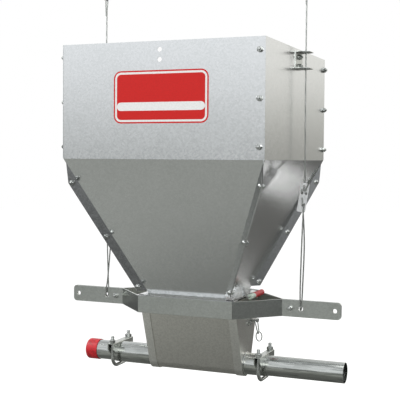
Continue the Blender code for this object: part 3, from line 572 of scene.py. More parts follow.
@dataclass(frozen=True)
class PrintedVinyl:
    """Printed vinyl film under a clear coat: a flat colour with a faint orange-peel gloss."""

    name: str
    colour: str
    peel_mm: float = 3.0

    def make(self) -> Material:
        """Build the finish.

        Returns:
            The material.
        """
        mat, tree, shader, coords = blank(self.name)
        peel = noise(tree, coords["Object"], self.peel_mm, Detail=2.0)
        base = linear(self.colour)
        faded = (*(0.93 * part for part in base[:3]), 1.0)
        tone = ramp(tree, peel, ((0.35, faded), (0.6, base)))
        connect(tree, shader, tone, 0.42, relief(tree, peel, 0.06, 0.0001), 0.0)
        shader.inputs["Specular IOR Level"].default_value = 0.30
        return mat


def dress(material: Material, *nodes: str) -> None:
    """Give carried-over CAD nodes a finish."""
    for name in nodes:
        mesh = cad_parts[name].data
        if not mesh.materials:
            mesh.materials.append(material)
        for i in range(len(mesh.materials)):
            mesh.materials[i] = material
        LOG.info("dressed %s in %s", name, material.name)


def put(obj: Piece, material: Material, body: str, slot: str, *replaced: str) -> Piece:
    """Finish a new piece and set it on its body.

    Args:
        obj: the piece.
        material: its finish.
        body: the body that it rides on.
        slot: the record's material slot; not used.
        replaced: CAD nodes that it stands for.

    Returns:
        The same piece.
    """
    obj.data.materials.clear()
    obj.data.materials.append(material)
    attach(obj, body)
    if replaced:
        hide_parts(*replaced)
    LOG.info("made %s on %s", obj.name, body)
    return obj


# Camera and studio


@dataclass
class Studio:
    """Camera at the photograph's angle, a floor with lit and dark fields, room light and softboxes.

    The sheets are mirrors, so the floor's fields and the room's bands set their tones.
    """

    azimuth: float = 22.342
    elevation: float = 2.6014
    roll: float = 0.442
    eye: Triple = (0.7622, -1.8588, BEND_Z + 0.0010)
    lens: float = 80.99
    floor_z: float = -1.30
    near: Colour = (0.262, 0.268, 0.246, 1.0)
    far: Colour = (0.085, 0.082, 0.074, 1.0)
    far_run: Pair = (0.1, 0.9)       # metres back where far takes over from near
    far_edge: Pair = (0.23, 0.29)    # and the slope of its side lines
    glow: float = 0.96
    glow_run: Pair = (0.8, 1.35)     # metres back where the glow grows
    glow_edge: Pair = (0.30, 0.23)
    fan: float = 2.0                 # the side lines meet this far in front
    wear_and_shade: float = 0.42               # share of the tone left in the painted shade under the hopper
    under_shade_run: Pair = (1.32, 1.56)    # distance from the origin where that painted shade ends
    flank: float = 0.10              # share left far out to either side
    flank_run: Pair = (1.1, 2.6)
    paper: Triple = (-0.380, 0.925, 0.0)    # straight behind, where the white backdrop hangs
    paper_edge: Pair = (0.86, 0.955)        # cosines between which it begins
    shade: Triple = (0.925, -0.380, 0.0)    # to the side, where a flag stands and another opposite
    shade_edge: Pair = (0.84, 0.96)
    shade_share: float = 0.42
    rear: Triple = (0.380, 0.925, 0.0)      # behind on the right
    rear_edge: Pair = (0.35, 0.92)
    warm: Colour = (0.86, 0.83, 0.77, 1.0)
    # height of the direction and brightness there; `cool` scales red, and blue above `clear`
    bands: tuple[Pair, ...] = ((-0.25, 0.28), (0.0, 0.44), (0.034, 0.62), (0.10, 1.20), (0.30, 1.12),
                               (1.0, 0.74))
    cool: Pair = (0.975, 1.035)
    clear: float = 0.05
    # place, aim, size and watts of each softbox
    lamps: tuple[tuple, ...] = (
        ("left_softbox", (-2.3, -0.9, 1.1), (0, 0, -0.4), (0.9, 1.2), 28),
        ("top_softbox", (0.3, -0.4, 1.7), (0, 0, -0.4), (1.4, 1.4), 16),
        ("right_softbox", (1.5, 1.9, 1.3), (0, 0, -0.4), (0.8, 0.8), 4),
        ("low_lamp", (0.496, 1.295, -0.777), (0.209, -0.133, -0.42), (0.06, 0.12), 0.08),
        ("front_softbox", (0.88, -2.9, 0.32), (0, 0, -0.5), (1.0, 1.0), 13.5))

    def camera(self) -> None:
        """Place the camera from its three angles and its eye."""
        a, e, r = np.radians([self.azimuth, self.elevation, self.roll])
        back = np.array([np.sin(a) * np.cos(e), -np.cos(a) * np.cos(e), np.sin(e)])
        right = np.array([np.cos(a), np.sin(a), 0.0])
        up = np.cross(back, right)
        x = np.cos(r) * right + np.sin(r) * up
        y = -np.sin(r) * right + np.cos(r) * up
        data = bpy.data.cameras.new("photo_camera")
        data.lens = self.lens
        data.sensor_width = 36.0
        data.clip_end = 30.0
        cam = bpy.data.objects.new("photo_camera", data)
        bpy.context.scene.collection.objects.link(cam)
        cam.matrix_world = posed(x, y, back, self.eye)
        bpy.context.scene.camera = cam

    def floor(self) -> None:
        """Round floor, with the glow of the background lights where the sweep begins.

        Formula: a disc whose rim is far past every view. With a the distance behind the object
        and b the distance to the side of that line, the glow and the far tone grow with a, and
        each ends at the side where the ratio of b to a plus fan passes through its edge.
        """
        ang = np.arange(64) * 2 * np.pi / 64
        r = np.array([0.001, 0.6, 1.5, 3.0, 6.0, 14.0])[:, None]
        pts = along(Axis.Z, (0, 0, self.floor_z), r * np.cos(ang), r * np.sin(ang), 0 * r)
        disc = grid_mesh("studio_floor", pts, wrap_v=True)
        if disc.data.polygons[0].normal.z < 0:
            disc.data.flip_normals()
        mat, tree, shader, coords = blank("studio_floor")
        where = coords["Object"]
        back = facing(tree, where, self.paper)
        side = facing(tree, where, (self.paper[1], -self.paper[0], 0.0))
        slope = calc(tree, "ABSOLUTE", calc(tree, "DIVIDE", side, calc(tree, "ADD", back, self.fan)))
        share = calc(tree, "MULTIPLY", spread(tree, slope, self.glow_edge),
                     spread(tree, back, self.glow_run))
        glow = ramp(tree, share, ((0.0, grey(0.0)), (1.0, grey(self.glow))))
        tree.links.new(glow, shader.inputs["Emission Color"])
        share = calc(tree, "MULTIPLY", spread(tree, back, self.far_run),
                     spread(tree, slope, self.far_edge))
        tone = ramp(tree, share, ((0.0, self.near), (1.0, self.far)))
        # painted shade: the floor is darker right under the hopper, and its tone dims to either side
        reach = add_node(tree, "ShaderNodeVectorMath", links={0: where}, operation="LENGTH")
        wear_and_shade = spread(tree, reach.outputs["Value"], self.under_shade_run, (self.wear_and_shade, 1.0))
        flank = calc(tree, "ABSOLUTE", facing(tree, where, self.shade))
        dim = spread(tree, flank, self.flank_run, (1.0, self.flank))
        tree.links.new(scaled(tree, tone, calc(tree, "MULTIPLY", wear_and_shade, dim)), shader.inputs["Base Color"])
        shader.inputs["Emission Strength"].default_value = 1.0
        shader.inputs["Roughness"].default_value = 0.8
        disc.data.materials.append(mat)

    def sky(self) -> None:
        """Room light: dim near the horizon, bright above it, with a white paper backdrop.

        Formula: brightness is a ramp of the direction's height. The directions round `rear` are
        tinted by `warm`, those round `shade` and opposite to it are dimmed, and those round
        `paper` are mixed to white.
        """
        world = bpy.data.worlds.new("studio_world")
        world.use_nodes = True
        tree = world.node_tree
        where = add_node(tree, "ShaderNodeTexCoord").outputs["Generated"]
        height = add_node(tree, "ShaderNodeSeparateXYZ", links={"Vector": where}).outputs["Z"]
        low, high = self.bands[0][0], self.bands[-1][0]
        red, blue = self.cool
        stops = [((h - low) / (high - low), (v * red, v, v * (1.0 if h < self.clear else blue), 1.0))
                 for h, v in self.bands]
        room = ramp(tree, spread(tree, height, (low, high), kind="LINEAR"), stops)
        # the room behind on the right is warmer and dimmer than the daylight in front
        rear = spread(tree, facing(tree, where, self.rear), self.rear_edge)
        tint = ramp(tree, rear, ((0.0, grey(1.0)), (1.0, self.warm)))
        room = add_node(tree, "ShaderNodeVectorMath", links={0: room, 1: tint},
                        operation="MULTIPLY").outputs["Vector"]
        # a dark flag on either side keeps the seams from washing out
        flag = calc(tree, "ABSOLUTE", facing(tree, where, self.shade))
        room = scaled(tree, room, spread(tree, flag, self.shade_edge, (1.0, self.shade_share)))
        share = spread(tree, facing(tree, where, self.paper), self.paper_edge)
        mix = add_node(tree, "ShaderNodeMix", {7: grey(1.0)}, {0: share, 6: room}, data_type="RGBA")
        back = tree.nodes["Background"]
        tree.links.new(mix.outputs[2], back.inputs["Color"])
        back.inputs["Strength"].default_value = 1.0
        bpy.context.scene.world = world

    def light(self, name: str, place: Numbers, aim: Numbers, size: Pair, watts: float) -> None:
        """One rectangular softbox.

        Args:
            name: its name.
            place: where it stands.
            aim: the point it faces.
            size: width and height.
            watts: its power.
        """
        data = bpy.data.lights.new(name, "AREA")
        data.shape = "RECTANGLE"
        data.size, data.size_y = size
        data.energy = watts
        lamp = bpy.data.objects.new(name, data)
        lamp.location = place
        way = Vector(aim) - Vector(place)
        lamp.rotation_euler = way.to_track_quat("-Z", "Y").to_euler()
        bpy.context.scene.collection.objects.link(lamp)

    def build(self) -> None:
        """Set up the whole studio."""
        self.camera()
        self.floor()
        self.sky()
        bpy.context.scene.view_settings.view_transform = "Standard"
        for lamp in self.lamps:
            self.light(*lamp)


# Cables


@dataclass
class Suspension:
    """Two wire ropes, each from a ceiling hook through its guide to an adjuster plate, and a loop
    from that plate through the strap's ear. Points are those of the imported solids, for the right."""

    radius: float = 0.0015
    hanging: tuple[Triple, ...] = (
        (0.2385, -0.003, -0.06), (0.2385, -0.0034, -0.045), (0.2385, -0.0043, -0.0309),
        (0.2385, -0.0043, -0.0234), (0.2385, -0.0031, -0.0198), (0.2385, 0.0, -0.0185),
        (0.2385, 0.0031, -0.0198), (0.2385, 0.0043, -0.0234), (0.2385, 0.004, -0.0309),
        (0.2385, 0.001, -0.045), (0.2385, 0.0006, -0.06), (0.2385, 0.0, -0.11),
        (0.2385, 0.0, -0.1605), (0.2385, 0.0, -0.1965), (0.2385, 0.0012, -0.29),
        (0.239, 0.0034, -0.42), (0.23821, 0.0028, -0.43847), (0.23821, 0.0033, -0.44387),
        (0.23821, 0.0, -0.44587), (0.23821, -0.0033, -0.44787), (0.23821, -0.0028, -0.45327),
        (0.23346, -0.0028, -0.45188), (0.23346, -0.0033, -0.45728), (0.23346, 0.0, -0.45928),
        (0.23346, 0.0033, -0.46128), (0.23346, 0.0028, -0.46668), (0.24234, 0.0028, -0.46815),
        (0.24234, 0.0033, -0.46275), (0.24234, 0.0, -0.46075), (0.24234, -0.0033, -0.45875),
        (0.24234, -0.0028, -0.45335), (0.25, -0.0052, -0.438), (0.259, -0.0052, -0.422),
        (0.2694, -0.0052, -0.4062))
    loop: tuple[Triple, ...] = (
        (0.23472, -0.003, -0.4695), (0.23572, -0.0028, -0.4781), (0.23572, -0.0033, -0.4835),
        (0.23572, 0.0, -0.4855), (0.23572, 0.0033, -0.4875), (0.23572, 0.0028, -0.4929),
        (0.2385, 0.0058, -0.57), (0.236, 0.006, -0.66), (0.2345, 0.0064, -0.6961),
        (0.2345, 0.0056, -0.7071), (0.2345, 0.0, -0.7117), (0.2345, -0.0056, -0.7071),
        (0.2345, -0.0064, -0.6961), (0.234, -0.006, -0.66), (0.236, -0.0058, -0.57),
        (0.23792, -0.0034, -0.4975), (0.24032, -0.003, -0.4815))
    slack: tuple[tuple[int, float], ...] = ((13, -0.0042), (14, -0.0120))  # left loop only

    def rope(self, names: tuple[str, str, str], route: Sequence[Numbers], side: int) -> None:
        """Make and finish one rope, a round curve along a smooth line, and set it on the hopper.

        Args:
            names: of the rope, its finish and the solid that it stands for.
            route: its points, for the right side.
            side: 1 for the right, -1 for the left.
        """
        name, finish, solid = names
        pts = smooth_line(route, ROPE_STEPS) * np.array([side, 1.0, 1.0])
        curve = bpy.data.curves.new(name, "CURVE")
        curve.dimensions = "3D"
        spline = curve.splines.new("POLY")
        spline.points.add(len(pts) - 1)
        spline.points.foreach_set("co", np.hstack([pts, np.ones((len(pts), 1))]).ravel())
        spline.use_smooth = True
        curve.bevel_depth = self.radius
        curve.bevel_resolution = 3
        curve.use_fill_caps = True
        obj = bpy.data.objects.new(name, curve)
        bpy.context.scene.collection.objects.link(obj)
        length = float(np.linalg.norm(np.diff(pts, axis=0), axis=1).sum())
        put(obj, WireRope(finish).make(length), "hopper", "wire_rope", solid)

    def build(self, chalk: Material, wire: Material) -> None:
        """Make the four ropes with their adjuster plates, and dress their hooks.

        Args:
            chalk: finish of the plates.
            wire: finish of the hooks.
        """
        for side, label in ((1, "right"), (-1, "left")):
            node = "adjuster_plate_" + label
            plate = put(Sheetwork(bend=0.0).eased("cast_" + node, node), chalk, "hopper",
                        "galvanised_bar", node)
            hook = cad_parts["ceiling_hook_" + label]
            dress(wire, hook.name)
            names = ("suspension_rope_" + label, "stranded_wire_rope_" + label,
                     "hanging_cable_" + label)
            self.rope(names, self.hanging, side)
            loop = np.array(self.loop)
            if side < 0:
                for i, shift in self.slack:
                    loop[i, 0] += shift
            names = ("ear_rope_" + label, "stranded_ear_rope_" + label, "ear_loop_" + label)
            self.rope(names, loop, side)


# Sheet work


@dataclass
class Fasteners:
    """Corner, seam and guide fasteners: truss heads inside, nut, washer and thread outside."""

    material: Material
    shank: float = 0.0029
    flat: float = 0.0049
    nut: float = 0.0046          # height
    stick: float = 0.0085        # how far the thread stands out
    washer: float = 0.0062
    thick: Pair = (0.0010, 0.0011)    # of the washer, at its rim and its hole
    chamfer: float = 0.0005      # shaded ring between nut and thread
    # share of the head's radius, and height there
    dome: tuple[Pair, ...] = ((0.1, 0.0030), (0.5, 0.0027), (0.8, 0.0018), (1.0, 0.0006), (1.0, 0.0))
    sheets: float = 0.0033       # both panels at a corner
    inset: float = 0.00135       # from the box's outside to the middle of both
    ears: Triple = (0.2108, 0.0069, 0.0075)    # x, grip and head of their bolts
    stud: Triple = (0.11105, 0.010, BEND_Z - 0.360)
    plate: float = 0.0021
    runs: Triple = (0.054, 0.193, 0.327)    # from the top of a seam, along it
    flange: Pair = (0.0105, 0.0030)         # a seam's hole from its edge, and its grip
    foot: Pair = (0.091, 0.080)             # half sizes of the cone's foot
    tabs: Pair = (0.219, 0.199)             # holes of a cable guide above the bend
    tab: Pair = (0.0002, 0.0036)            # their middle past the box, and their grip

    def one(self, name: str, axis: Axis, centre: Numbers, sign: float, grip: float,
            turn: float, head: float = 0.0058) -> Piece:
        """One fastener, made along an axis.

        Args:
            name: name of the piece.
            axis: its axis.
            centre: the middle of the sheets that it holds.
            sign: which way the nut stands.
            grip: thickness that it holds.
            turn: degrees that the nut is turned.
            head: radius of the head.

        Returns:
            The joined pieces.
        """
        o = grip / 2
        rim, hole = self.thick
        cap = turned(name + "_h", [(head * r, -sign * (o + h)) for r, h in self.dome], axis, centre, 24)
        ring = [(self.shank, sign * o), (self.washer, sign * o), (self.washer, sign * (o + rim)),
                (self.shank, sign * (o + hole))]
        washer = turned(name + "_w", ring, axis, centre, 28, True)
        seat = np.array(centre, float)
        seat[axis.value] += sign * (o + hole)
        nut = hex_nut(name + "_n", self.flat, self.nut, self.shank + self.chamfer, axis, seat, sign,
                      turn)
        stud = stud_tip(name + "_s", self.shank, sign * o, sign * (o + self.stick), axis, centre)
        return merged(name, [cap, washer, nut, stud])

    def fit(self, obj: Piece, *replaced: str) -> None:
        """Finish a fastener and set it on the hopper."""
        put(obj, self.material, "hopper", "zinc_fastener", *replaced)

    def corners(self) -> None:
        """Replace the twelve plain corner fasteners."""
        turn = 11.0
        for side in ("front", "right", "back", "left"):
            axis = Axis.Y if side in ("front", "back") else Axis.X
            sign = -1 if side in ("front", "left") else 1
            for i in (1, 2, 3):
                node = "corner_fastener_%s_%d" % (side, i)
                lo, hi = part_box(node)
                centre = (np.array(lo) + np.array(hi)) / 2
                centre[axis.value] = sign * (HALF_BOX - self.inset)
                turn += 37.0
                self.fit(self.one("box_" + node, axis, centre, sign, self.sheets, turn), node)

    def plates(self) -> None:
        """Replace the ear bolts and the stud on the boot's end plate."""
        x, grip, head = self.ears
        for label, side in (("right", 1), ("left", -1)):
            obj = self.one("strap_ear_bolt_" + label, Axis.Y, (side * x, 0.0, STRAP_TOP - STRAP_H / 2),
                           -1, grip, 14.0 * side, head)
            self.fit(obj, "ear_bolt_" + label)
        self.fit(self.one("boot_plate_stud", Axis.X, self.stud, 1, self.plate, 9.0), "end_cap_stud")

    def seams(self) -> None:
        """Add three fasteners to each standing seam of the cone.

        Formula: a seam lies in the plane that halves its corner; the fastener stands across it.
        """
        for kx, ky in ((-1, -1), (1, -1), (1, 1), (-1, 1)):
            top = np.array([kx * HALF_BOX, ky * HALF_BOX, BEND_Z])
            foot = np.array([kx * self.foot[0], ky * self.foot[1], BEND_Z - CONE_H])
            edge = (foot - top) / np.linalg.norm(foot - top)
            nx = np.array([kx * CONE_H, 0.0, -(HALF_BOX - self.foot[0])])
            ny = np.array([0.0, ky * CONE_H, -(HALF_BOX - self.foot[1])])
            out = nx / np.linalg.norm(nx) + ny / np.linalg.norm(ny)
            out /= np.linalg.norm(out)
            across = np.cross(out, edge)
            way = across if np.dot(np.cross([0, 0, 1], [kx, ky, 0]), across) > 0 else -across
            for i, run in enumerate(self.runs):
                name = "seam_fastener_%s%s_%d" % ("lr"[kx > 0], "fb"[ky > 0], i + 1)
                obj = self.one(name, Axis.Z, (0, 0, 0), 1.0, self.flange[1], 23.0 * i)
                obj.data.transform(posed(edge, np.cross(way, edge), way,
                                         top + edge * run + out * self.flange[0]))
                self.fit(obj)

    def guides(self) -> None:
        """Add two fasteners to each cable guide."""
        for side, label in ((1, "right"), (-1, "left")):
            for i, z in enumerate(self.tabs):
                centre = (side * (HALF_BOX + self.tab[0]), 0.0, BEND_Z + z)
                self.fit(self.one("guide_fastener_%s_%d" % (label, i + 1), Axis.X, centre, side,
                                  self.tab[1], 17.0 + 31 * i))

    def build(self) -> None:
        """Make them all."""
        for work in (self.corners, self.plates, self.seams, self.guides):
            work()


@dataclass
class Badge:
    """Plain rounded red and white sticker on the front panel, with no words on it."""

    centre: Pair = (0.002, 0.125)
    half: Pair = (0.104, 0.053)
    corner: float = 0.016
    face: float = 0.00002        # from the panel to the back of every layer
    band_drop: float = 0.019     # the stripe's middle lies below the sticker's
    band_half: Pair = (0.0966, 0.0085)

    def layer(self, name: str, centre: Pair, half: Pair, inset: float, depth: float) -> Piece:
        """One film layer with rounded corners.

        Formula: a rounded rectangle, drawn by four quarter circles, pushed forward by depth.

        Args:
            name: name of the layer.
            centre: the middle of its outline.
            half: half sizes of the outline.
            inset: how far inside the outline it ends.
            depth: how far in front of the panel its face lies.

        Returns:
            The layer.
        """
        (cx, cz), (hx, hz) = centre, (half[0] - inset, half[1] - inset)
        r = max(0.0015, min(self.corner - inset, hz * 0.98))
        pts: list[Pair] = []
        for sx, sz, start in ((1, 1, 0), (-1, 1, 90), (-1, -1, 180), (1, -1, 270)):
            pts += arc((cx + sx * (hx - r), cz + sz * (hz - r)), r, start, start + 90, 9)
        ring = np.asarray(pts)
        y = -HALF_BOX - np.array([self.face, depth])[:, None]
        grid = np.stack(np.broadcast_arrays(ring[None, :, 0], y, BEND_Z + ring[None, :, 1]), axis=-1)
        return grid_mesh(name, grid, wrap_v=True, caps=True, smooth=30)

    def build(self) -> None:
        """Make the four layers, each in front of the last."""
        white = PrintedVinyl("printed_vinyl_white", "F8F7F4").make()
        red = PrintedVinyl("printed_vinyl_red", "D81F1B").make()
        whole = (self.centre, self.half)
        band = ((self.centre[0], self.centre[1] - self.band_drop), self.band_half)
        for name, film, slot, outline, inset, depth in (
                ("badge_edge_red", red, "red_plastic", whole, 0.0, 0.00022),
                ("badge_border_white", white, "pale_plastic", whole, 0.0030, 0.00034),
                ("badge_field_red", red, "red_plastic", whole, 0.0072, 0.00046),
                ("badge_band", white, "pale_plastic", band, 0.0, 0.00058)):
            put(self.layer(name, *outline, inset, depth), film, "hopper", slot)


@dataclass
class Sheetwork:
    """Bent sheets and flat bars: folds with a press brake's radius, and broken sheared edges."""

    width: float = 0.00035
    bend: float = 0.0015
    sharp: float = 28.0          # degrees; flatter edges aren't broken
    fold_turn: float = 15.0      # degrees; flatter edges aren't folds
    fold_face: float = 0.006     # both faces beside a fold are wider than this
    fold_long: float = 0.02
    flange_top: float = TUBE_Z + 0.075
    flange_rise: float = 0.0375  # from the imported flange's top to just behind the strap
    flange_y: float = 0.04       # a flange lies farther out than this
    boot_slope: float = 0.345    # the trough's walls lean out by this much of their height

    def folds(self, bm: bmesh.types.BMesh) -> list[bmesh.types.BMEdge]:
        """The outer edges of the folds: long convex edges between two wide faces."""
        found = []
        for edge in bm.edges:
            if len(edge.link_faces) != 2 or not edge.is_convex:
                continue
            if edge.calc_length() < self.fold_long or edge.calc_face_angle() < math.radians(self.fold_turn):
                continue
            narrow = min(face.calc_area() for face in edge.link_faces) / edge.calc_length()
            if narrow > self.fold_face:
                found.append(edge)
        return found

    def raise_flanges(self, bm: bmesh.types.BMesh) -> None:
        """Carry a boot cap's side flanges up the trough's slope, to behind the strap."""
        for vert in bm.verts:
            if abs(vert.co.z - self.flange_top) < 0.0010 and abs(vert.co.y) > self.flange_y:
                vert.co.y += math.copysign(self.flange_rise * self.boot_slope, vert.co.y)
                vert.co.z += self.flange_rise

    def eased(self, name: str, node: str) -> Piece:
        """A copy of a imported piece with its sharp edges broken.

        Formula: faces in one plane become one face, then each fold becomes a round of the bend
        radius, and each other edge sharper than `sharp` a small one.

        Args:
            name: name of the new piece.
            node: the CAD node.

        Returns:
            The new piece.
        """
        bm = bmesh.new()
        bm.from_mesh(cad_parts[node].data)
        bmesh.ops.remove_doubles(bm, verts=bm.verts, dist=1e-6)
        bmesh.ops.dissolve_limit(bm, angle_limit=math.radians(0.4), verts=bm.verts, edges=bm.edges)
        if node.startswith("boot_end_cap"):
            self.raise_flanges(bm)
        folds = self.folds(bm) if self.bend > 0 else []
        if folds:
            bmesh.ops.bevel(bm, geom=folds, offset=self.bend, offset_type="OFFSET", segments=4,
                            profile=0.5, affect="EDGES", clamp_overlap=True)
        LOG.info("rounded %d folds of %s", len(folds), node)
        obj = placed(name, bm, self.sharp)
        bevel = obj.modifiers.new("broken_edge", "BEVEL")
        bevel.width = self.width
        bevel.segments = 2
        bevel.limit_method = "ANGLE"
        bevel.angle_limit = math.radians(self.sharp)
        level = obj.modifiers.new("level_faces", "WEIGHTED_NORMAL")
        level.mode = "FACE_AREA"
        level.keep_sharp = True
        return obj

    def build(self, material: Material, slot: str, body: str, *nodes: str) -> None:
        """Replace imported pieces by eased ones.

        Args:
            material: their finish.
            slot: the record's material slot.
            body: the body that they ride on.
            nodes: the CAD nodes.
        """
        for node in nodes:
            put(self.eased("bent_" + node, node), material, body, slot, node)


@dataclass
class Pipework:
    """Drawn tubes, their collars with a weld bead, the red cap, the U-bolts and their nuts."""

    tube: float = 0.02222
    wall: float = 0.0014
    collar: float = 0.0239
    bore: float = 0.02252
    boot: float = 0.110
    anchor: float = -0.2775
    end: float = 0.333
    plug: float = 0.004          # tubes and collars start this far inside the boot's end
    plate: float = 0.0021        # the end cap, with its seat
    weld: float = 0.0022         # leg of the fillet
    collars: tuple[tuple[str, int, float], ...] = (("right", 1, 0.1625), ("left", -1, 0.2075))
    seat: float = 0.0003
    edge: float = 0.0004         # chamfer of the collars and the cap
    lid: Triple = (0.0237, -0.281, -0.251)    # radius and both ends of the cap
    lid_round: float = 0.005
    leg: float = 0.040
    rod: float = 0.004           # the U-bolt's own radius
    wire: float = 0.00399        # and as drawn, just inside its hole
    u_bend: float = 0.024
    u_end: float = 0.0175        # the legs end this far above the saddle's web
    thread: Triple = (0.00125, 0.0005, 0.024)    # pitch, depth and length
    nut: Pair = (0.0065, 0.0043)                    # half its flats, and its bore
    clamps: tuple[tuple[str, float], ...] = (("right", 0.1530), ("left", -0.1995))

    def pipe(self, name: str, start: float, end: float) -> Piece:
        """A tube with slightly broken ends, from start to end along X."""
        r, q, c = self.tube, self.tube - self.wall, 0.0003
        ring = [(r - c, start), (r, start + c), (r, end - c), (r - c, end), (q + c, end),
                (q, end - c), (q, start + c), (q + c, start)]
        return turned(name, ring, Axis.X, (0, 0, TUBE_Z), 96, True)

    def weld_collar(self, name: str, side: int, end: float) -> Piece:
        """A collar with its fillet weld against the boot's end plate.

        Args:
            name: name of the piece.
            side: 1 for the right, -1 for the left.
            end: how far it reaches from the middle.

        Returns:
            The collar.
        """
        face, start = self.boot + self.plate, self.boot - self.plug
        bead = [(self.collar + self.weld * math.cos(a), face + self.weld * math.sin(a))
                for a in np.radians([0, 15, 30, 50, 70, 90])]
        ring = [(self.collar, start), (self.collar, face), *bead, (self.collar, end - self.edge),
                (self.collar - self.edge, end), (self.bore, end), (self.bore, start)]
        return turned(name, [(r, side * w) for r, w in ring], Axis.X, (0, 0, TUBE_Z), 96, True)

    def cap(self) -> Piece:
        """The pushed-on end cap with a rounded rim and a shallow dished face."""
        (r, x0, x1), c = self.lid, self.lid_round
        inner, floor = self.tube + self.seat, self.anchor - self.seat
        ring = [(inner, x1), (r - self.edge, x1), (r, x1 - self.edge),
                *((r - c + c * math.cos(a), x0 + c - c * math.sin(a))
                  for a in np.radians([0, 15, 30, 45, 60, 75, 90])),
                (0.0150, x0 + 0.0001), (0.0138, x0 + 0.0008), (0.0005, x0 + 0.0009),
                (0.0005, floor), (inner, floor)]
        return turned("pushed_end_cap", ring, Axis.X, (0, 0, TUBE_Z), 96, True)

    def u_bolt(self, name: str, x: float) -> Piece:
        """A bent U-bolt with rolled threads on both legs.

        Formula: a round wire along two straight legs and two quarter turns; see `swept` for the
        thread.

        Args:
            name: name of the piece.
            x: where it stands along the tube.

        Returns:
            The U-bolt.
        """
        low = TUBE_Z - self.collar - self.rod - self.seat
        top = TUBE_Z + self.collar + self.seat + self.u_end
        bend = self.u_bend
        # fine enough for the thread, and it stops just above the bends
        down = np.arange(top, low + bend + 0.006, -0.00028)
        path = [(-self.leg, z) for z in down]
        path += arc((-self.leg + bend, low + bend), bend, 180, 270, 16)
        path += arc((self.leg - bend, low + bend), bend, 270, 360, 16)
        path += [(self.leg, z) for z in down[::-1]]
        line = np.array([(x, y, z) for y, z in path])
        return swept(name, line, self.wire, (1, 0, 0), 16, self.thread)

    def build(self, drawn: Material, wire: Material, zinc: Material, red: Material) -> None:
        """Make every piece of the tube run.

        Args:
            drawn: finish of the tubes and collars.
            wire: finish of the U-bolts.
            zinc: finish of the nuts.
            red: finish of the cap.
        """
        near = self.boot + self.plug
        for node, start, end in (("auger_tube", near, self.end), ("anchor_tube", self.anchor, -near)):
            put(self.pipe("drawn_" + node, start, end), drawn, "hopper", "galvanised_tube", node)
        for label, side, end in self.collars:
            put(self.weld_collar("welded_collar_" + label, side, end), drawn, "hopper",
                "galvanised_tube", "tube_collar_" + label)
        put(self.cap(), red, "end_cap", "red_plastic", "tube_end_cap")
        turn = 8.0
        for label, x in self.clamps:
            put(self.u_bolt("bent_u_bolt_" + label, x), wire, "hopper", "bright_wire",
                "u_bolt_" + label)
            for end in ("front", "back"):
                node = "clamp_nut_%s_%s" % (label, end)
                lo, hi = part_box(node)
                seat = ((lo[0] + hi[0]) / 2, (lo[1] + hi[1]) / 2, lo[2])
                nut = hex_nut("hex_" + node, self.nut[0], hi[2] - lo[2], self.nut[1], Axis.Z, seat,
                              1.0, turn)
                put(nut, zinc, "hopper", "zinc_fastener", node)
                turn += 23.0


@dataclass
class GateGear:
    """Rails, wire handle with its red grip, lock pin with its ring: rolled and drawn steel."""

    edge: float = 0.0003
    bars: tuple[str, ...] = ("gate_rail_front", "gate_rail_back")
    pin: tuple[str, ...] = ("lock_pin", "pull_ring", "pull_link")

    def build(self, steel: Material, wire: Material, red: Material, pale: Material) -> None:
        """Break the edges of the bars and the grip, and dress the wires.

        Args:
            steel: finish of the bars.
            wire: finish of the wires and the pin.
            red: finish of the grip.
            pale: finish of its ferrule.
        """
        work = Sheetwork(self.edge, 0.0)
        work.build(steel, "plain_steel", "hopper", *self.bars)
        work.build(red, "red_plastic", "bail", "grip_sleeve")
        work.build(pale, "pale_plastic", "bail", "grip_ferrule")
        dress(wire, "bail_wire", *self.pin)


@dataclass
class Conveyor:
    """The auger in the tube with the stub and the ring that carry it, worn bright by feed."""

    nodes: tuple[str, ...] = ("auger_helix", "auger_drive_stub", "anchor_bearing")

    def build(self, steel: Material) -> None:
        """Dress the turning pieces."""
        dress(steel, *self.nodes)


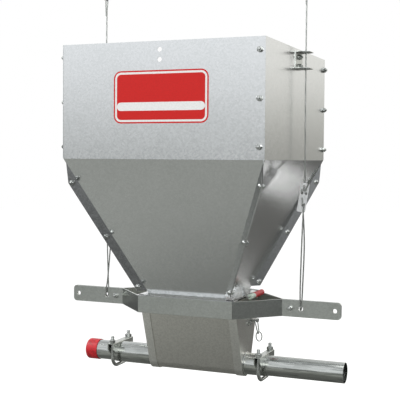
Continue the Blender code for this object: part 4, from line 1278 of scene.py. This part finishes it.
def main() -> None:
    """Build the studio, the ropes and every dressed piece, in that order."""
    logging.basicConfig(level=logging.INFO, format="%(message)s")
    Studio().build()
    # chalky near-white castings; wire with a soft bright line along it
    chalk = MouldedPlastic("chalked_zinc_casting", "FAFAFA", "E4E5E5", 0.5).make()
    wire = ZincPlate("zinc_plated_wire", "D6D8D5", "9B9E9B", (0.16, 0.30), 2.0).make()
    Suspension().build(chalk, wire)
    # panels like a cool, slightly hazy mirror; satin grey straps and saddles; the boot's warmer,
    # duller sheet and its paler end caps; tubes with sharp streaks of light along them
    sheet = GalvanisedSteel("galvanised_sheet_mirror").make()
    bar = GalvanisedSteel("galvanised_bar_satin", "C8CBC6", "B8BBB6", (0.30, 0.33), 3.0).make()
    dull = GalvanisedSteel("galvanised_sheet_aged", "E6E4DE", "D2D0CA", (0.29, 0.32), 2.8).make()
    pipe = GalvanisedSteel("galvanised_tube_drawn", "CED0CC", "9A9D99", (0.12, 0.24), 2.2,
                           stretch=(0.06, 1.0, 1.0)).make()
    cover = GalvanisedSteel("galvanised_sheet_cover", "F2F1EC", "E0DFDA", (0.29, 0.32), 2.8).make()
    # fasteners that glint against dark flanks, and dark bare bars
    zinc = ZincPlate("zinc_plated_fastener", "E6E8E5", "868985", (0.14, 0.28)).make()
    steel = ZincPlate("plain_rolled_steel", "7E7F7C", "45464A", (0.35, 0.55), 2.5).make()
    # saturated red cap and grip, and a milky ferrule
    red = MouldedPlastic("moulded_pvc_red", "D2202A", "A8141C").make()
    pale = MouldedPlastic("moulded_polythene_pale", "D5E2D3", "B4C2B4").make()
    sheets = Sheetwork()
    sheets.build(sheet, "galvanised_sheet", "hopper", "front_panel", "right_panel", "back_panel",
                 "left_panel", "gate_base")
    sheets.build(dull, "galvanised_sheet", "hopper", "boot_trough")
    sheets.build(cover, "galvanised_sheet", "hopper", "boot_end_cap_left", "boot_end_cap_right")
    sheets.build(sheet, "galvanised_sheet", "gate", "slide_gate")
    sheets.build(bar, "galvanised_bar", "hopper", "hanger_strap_front", "hanger_strap_back",
                 "clamp_saddle_left", "clamp_saddle_right", "cable_guide_left", "cable_guide_right")
    Pipework().build(pipe, wire, zinc, red)
    GateGear().build(steel, wire, red, pale)
    Conveyor().build(steel)
    Fasteners(zinc).build()
    Badge().build()


if __name__ == "__main__":
    main()
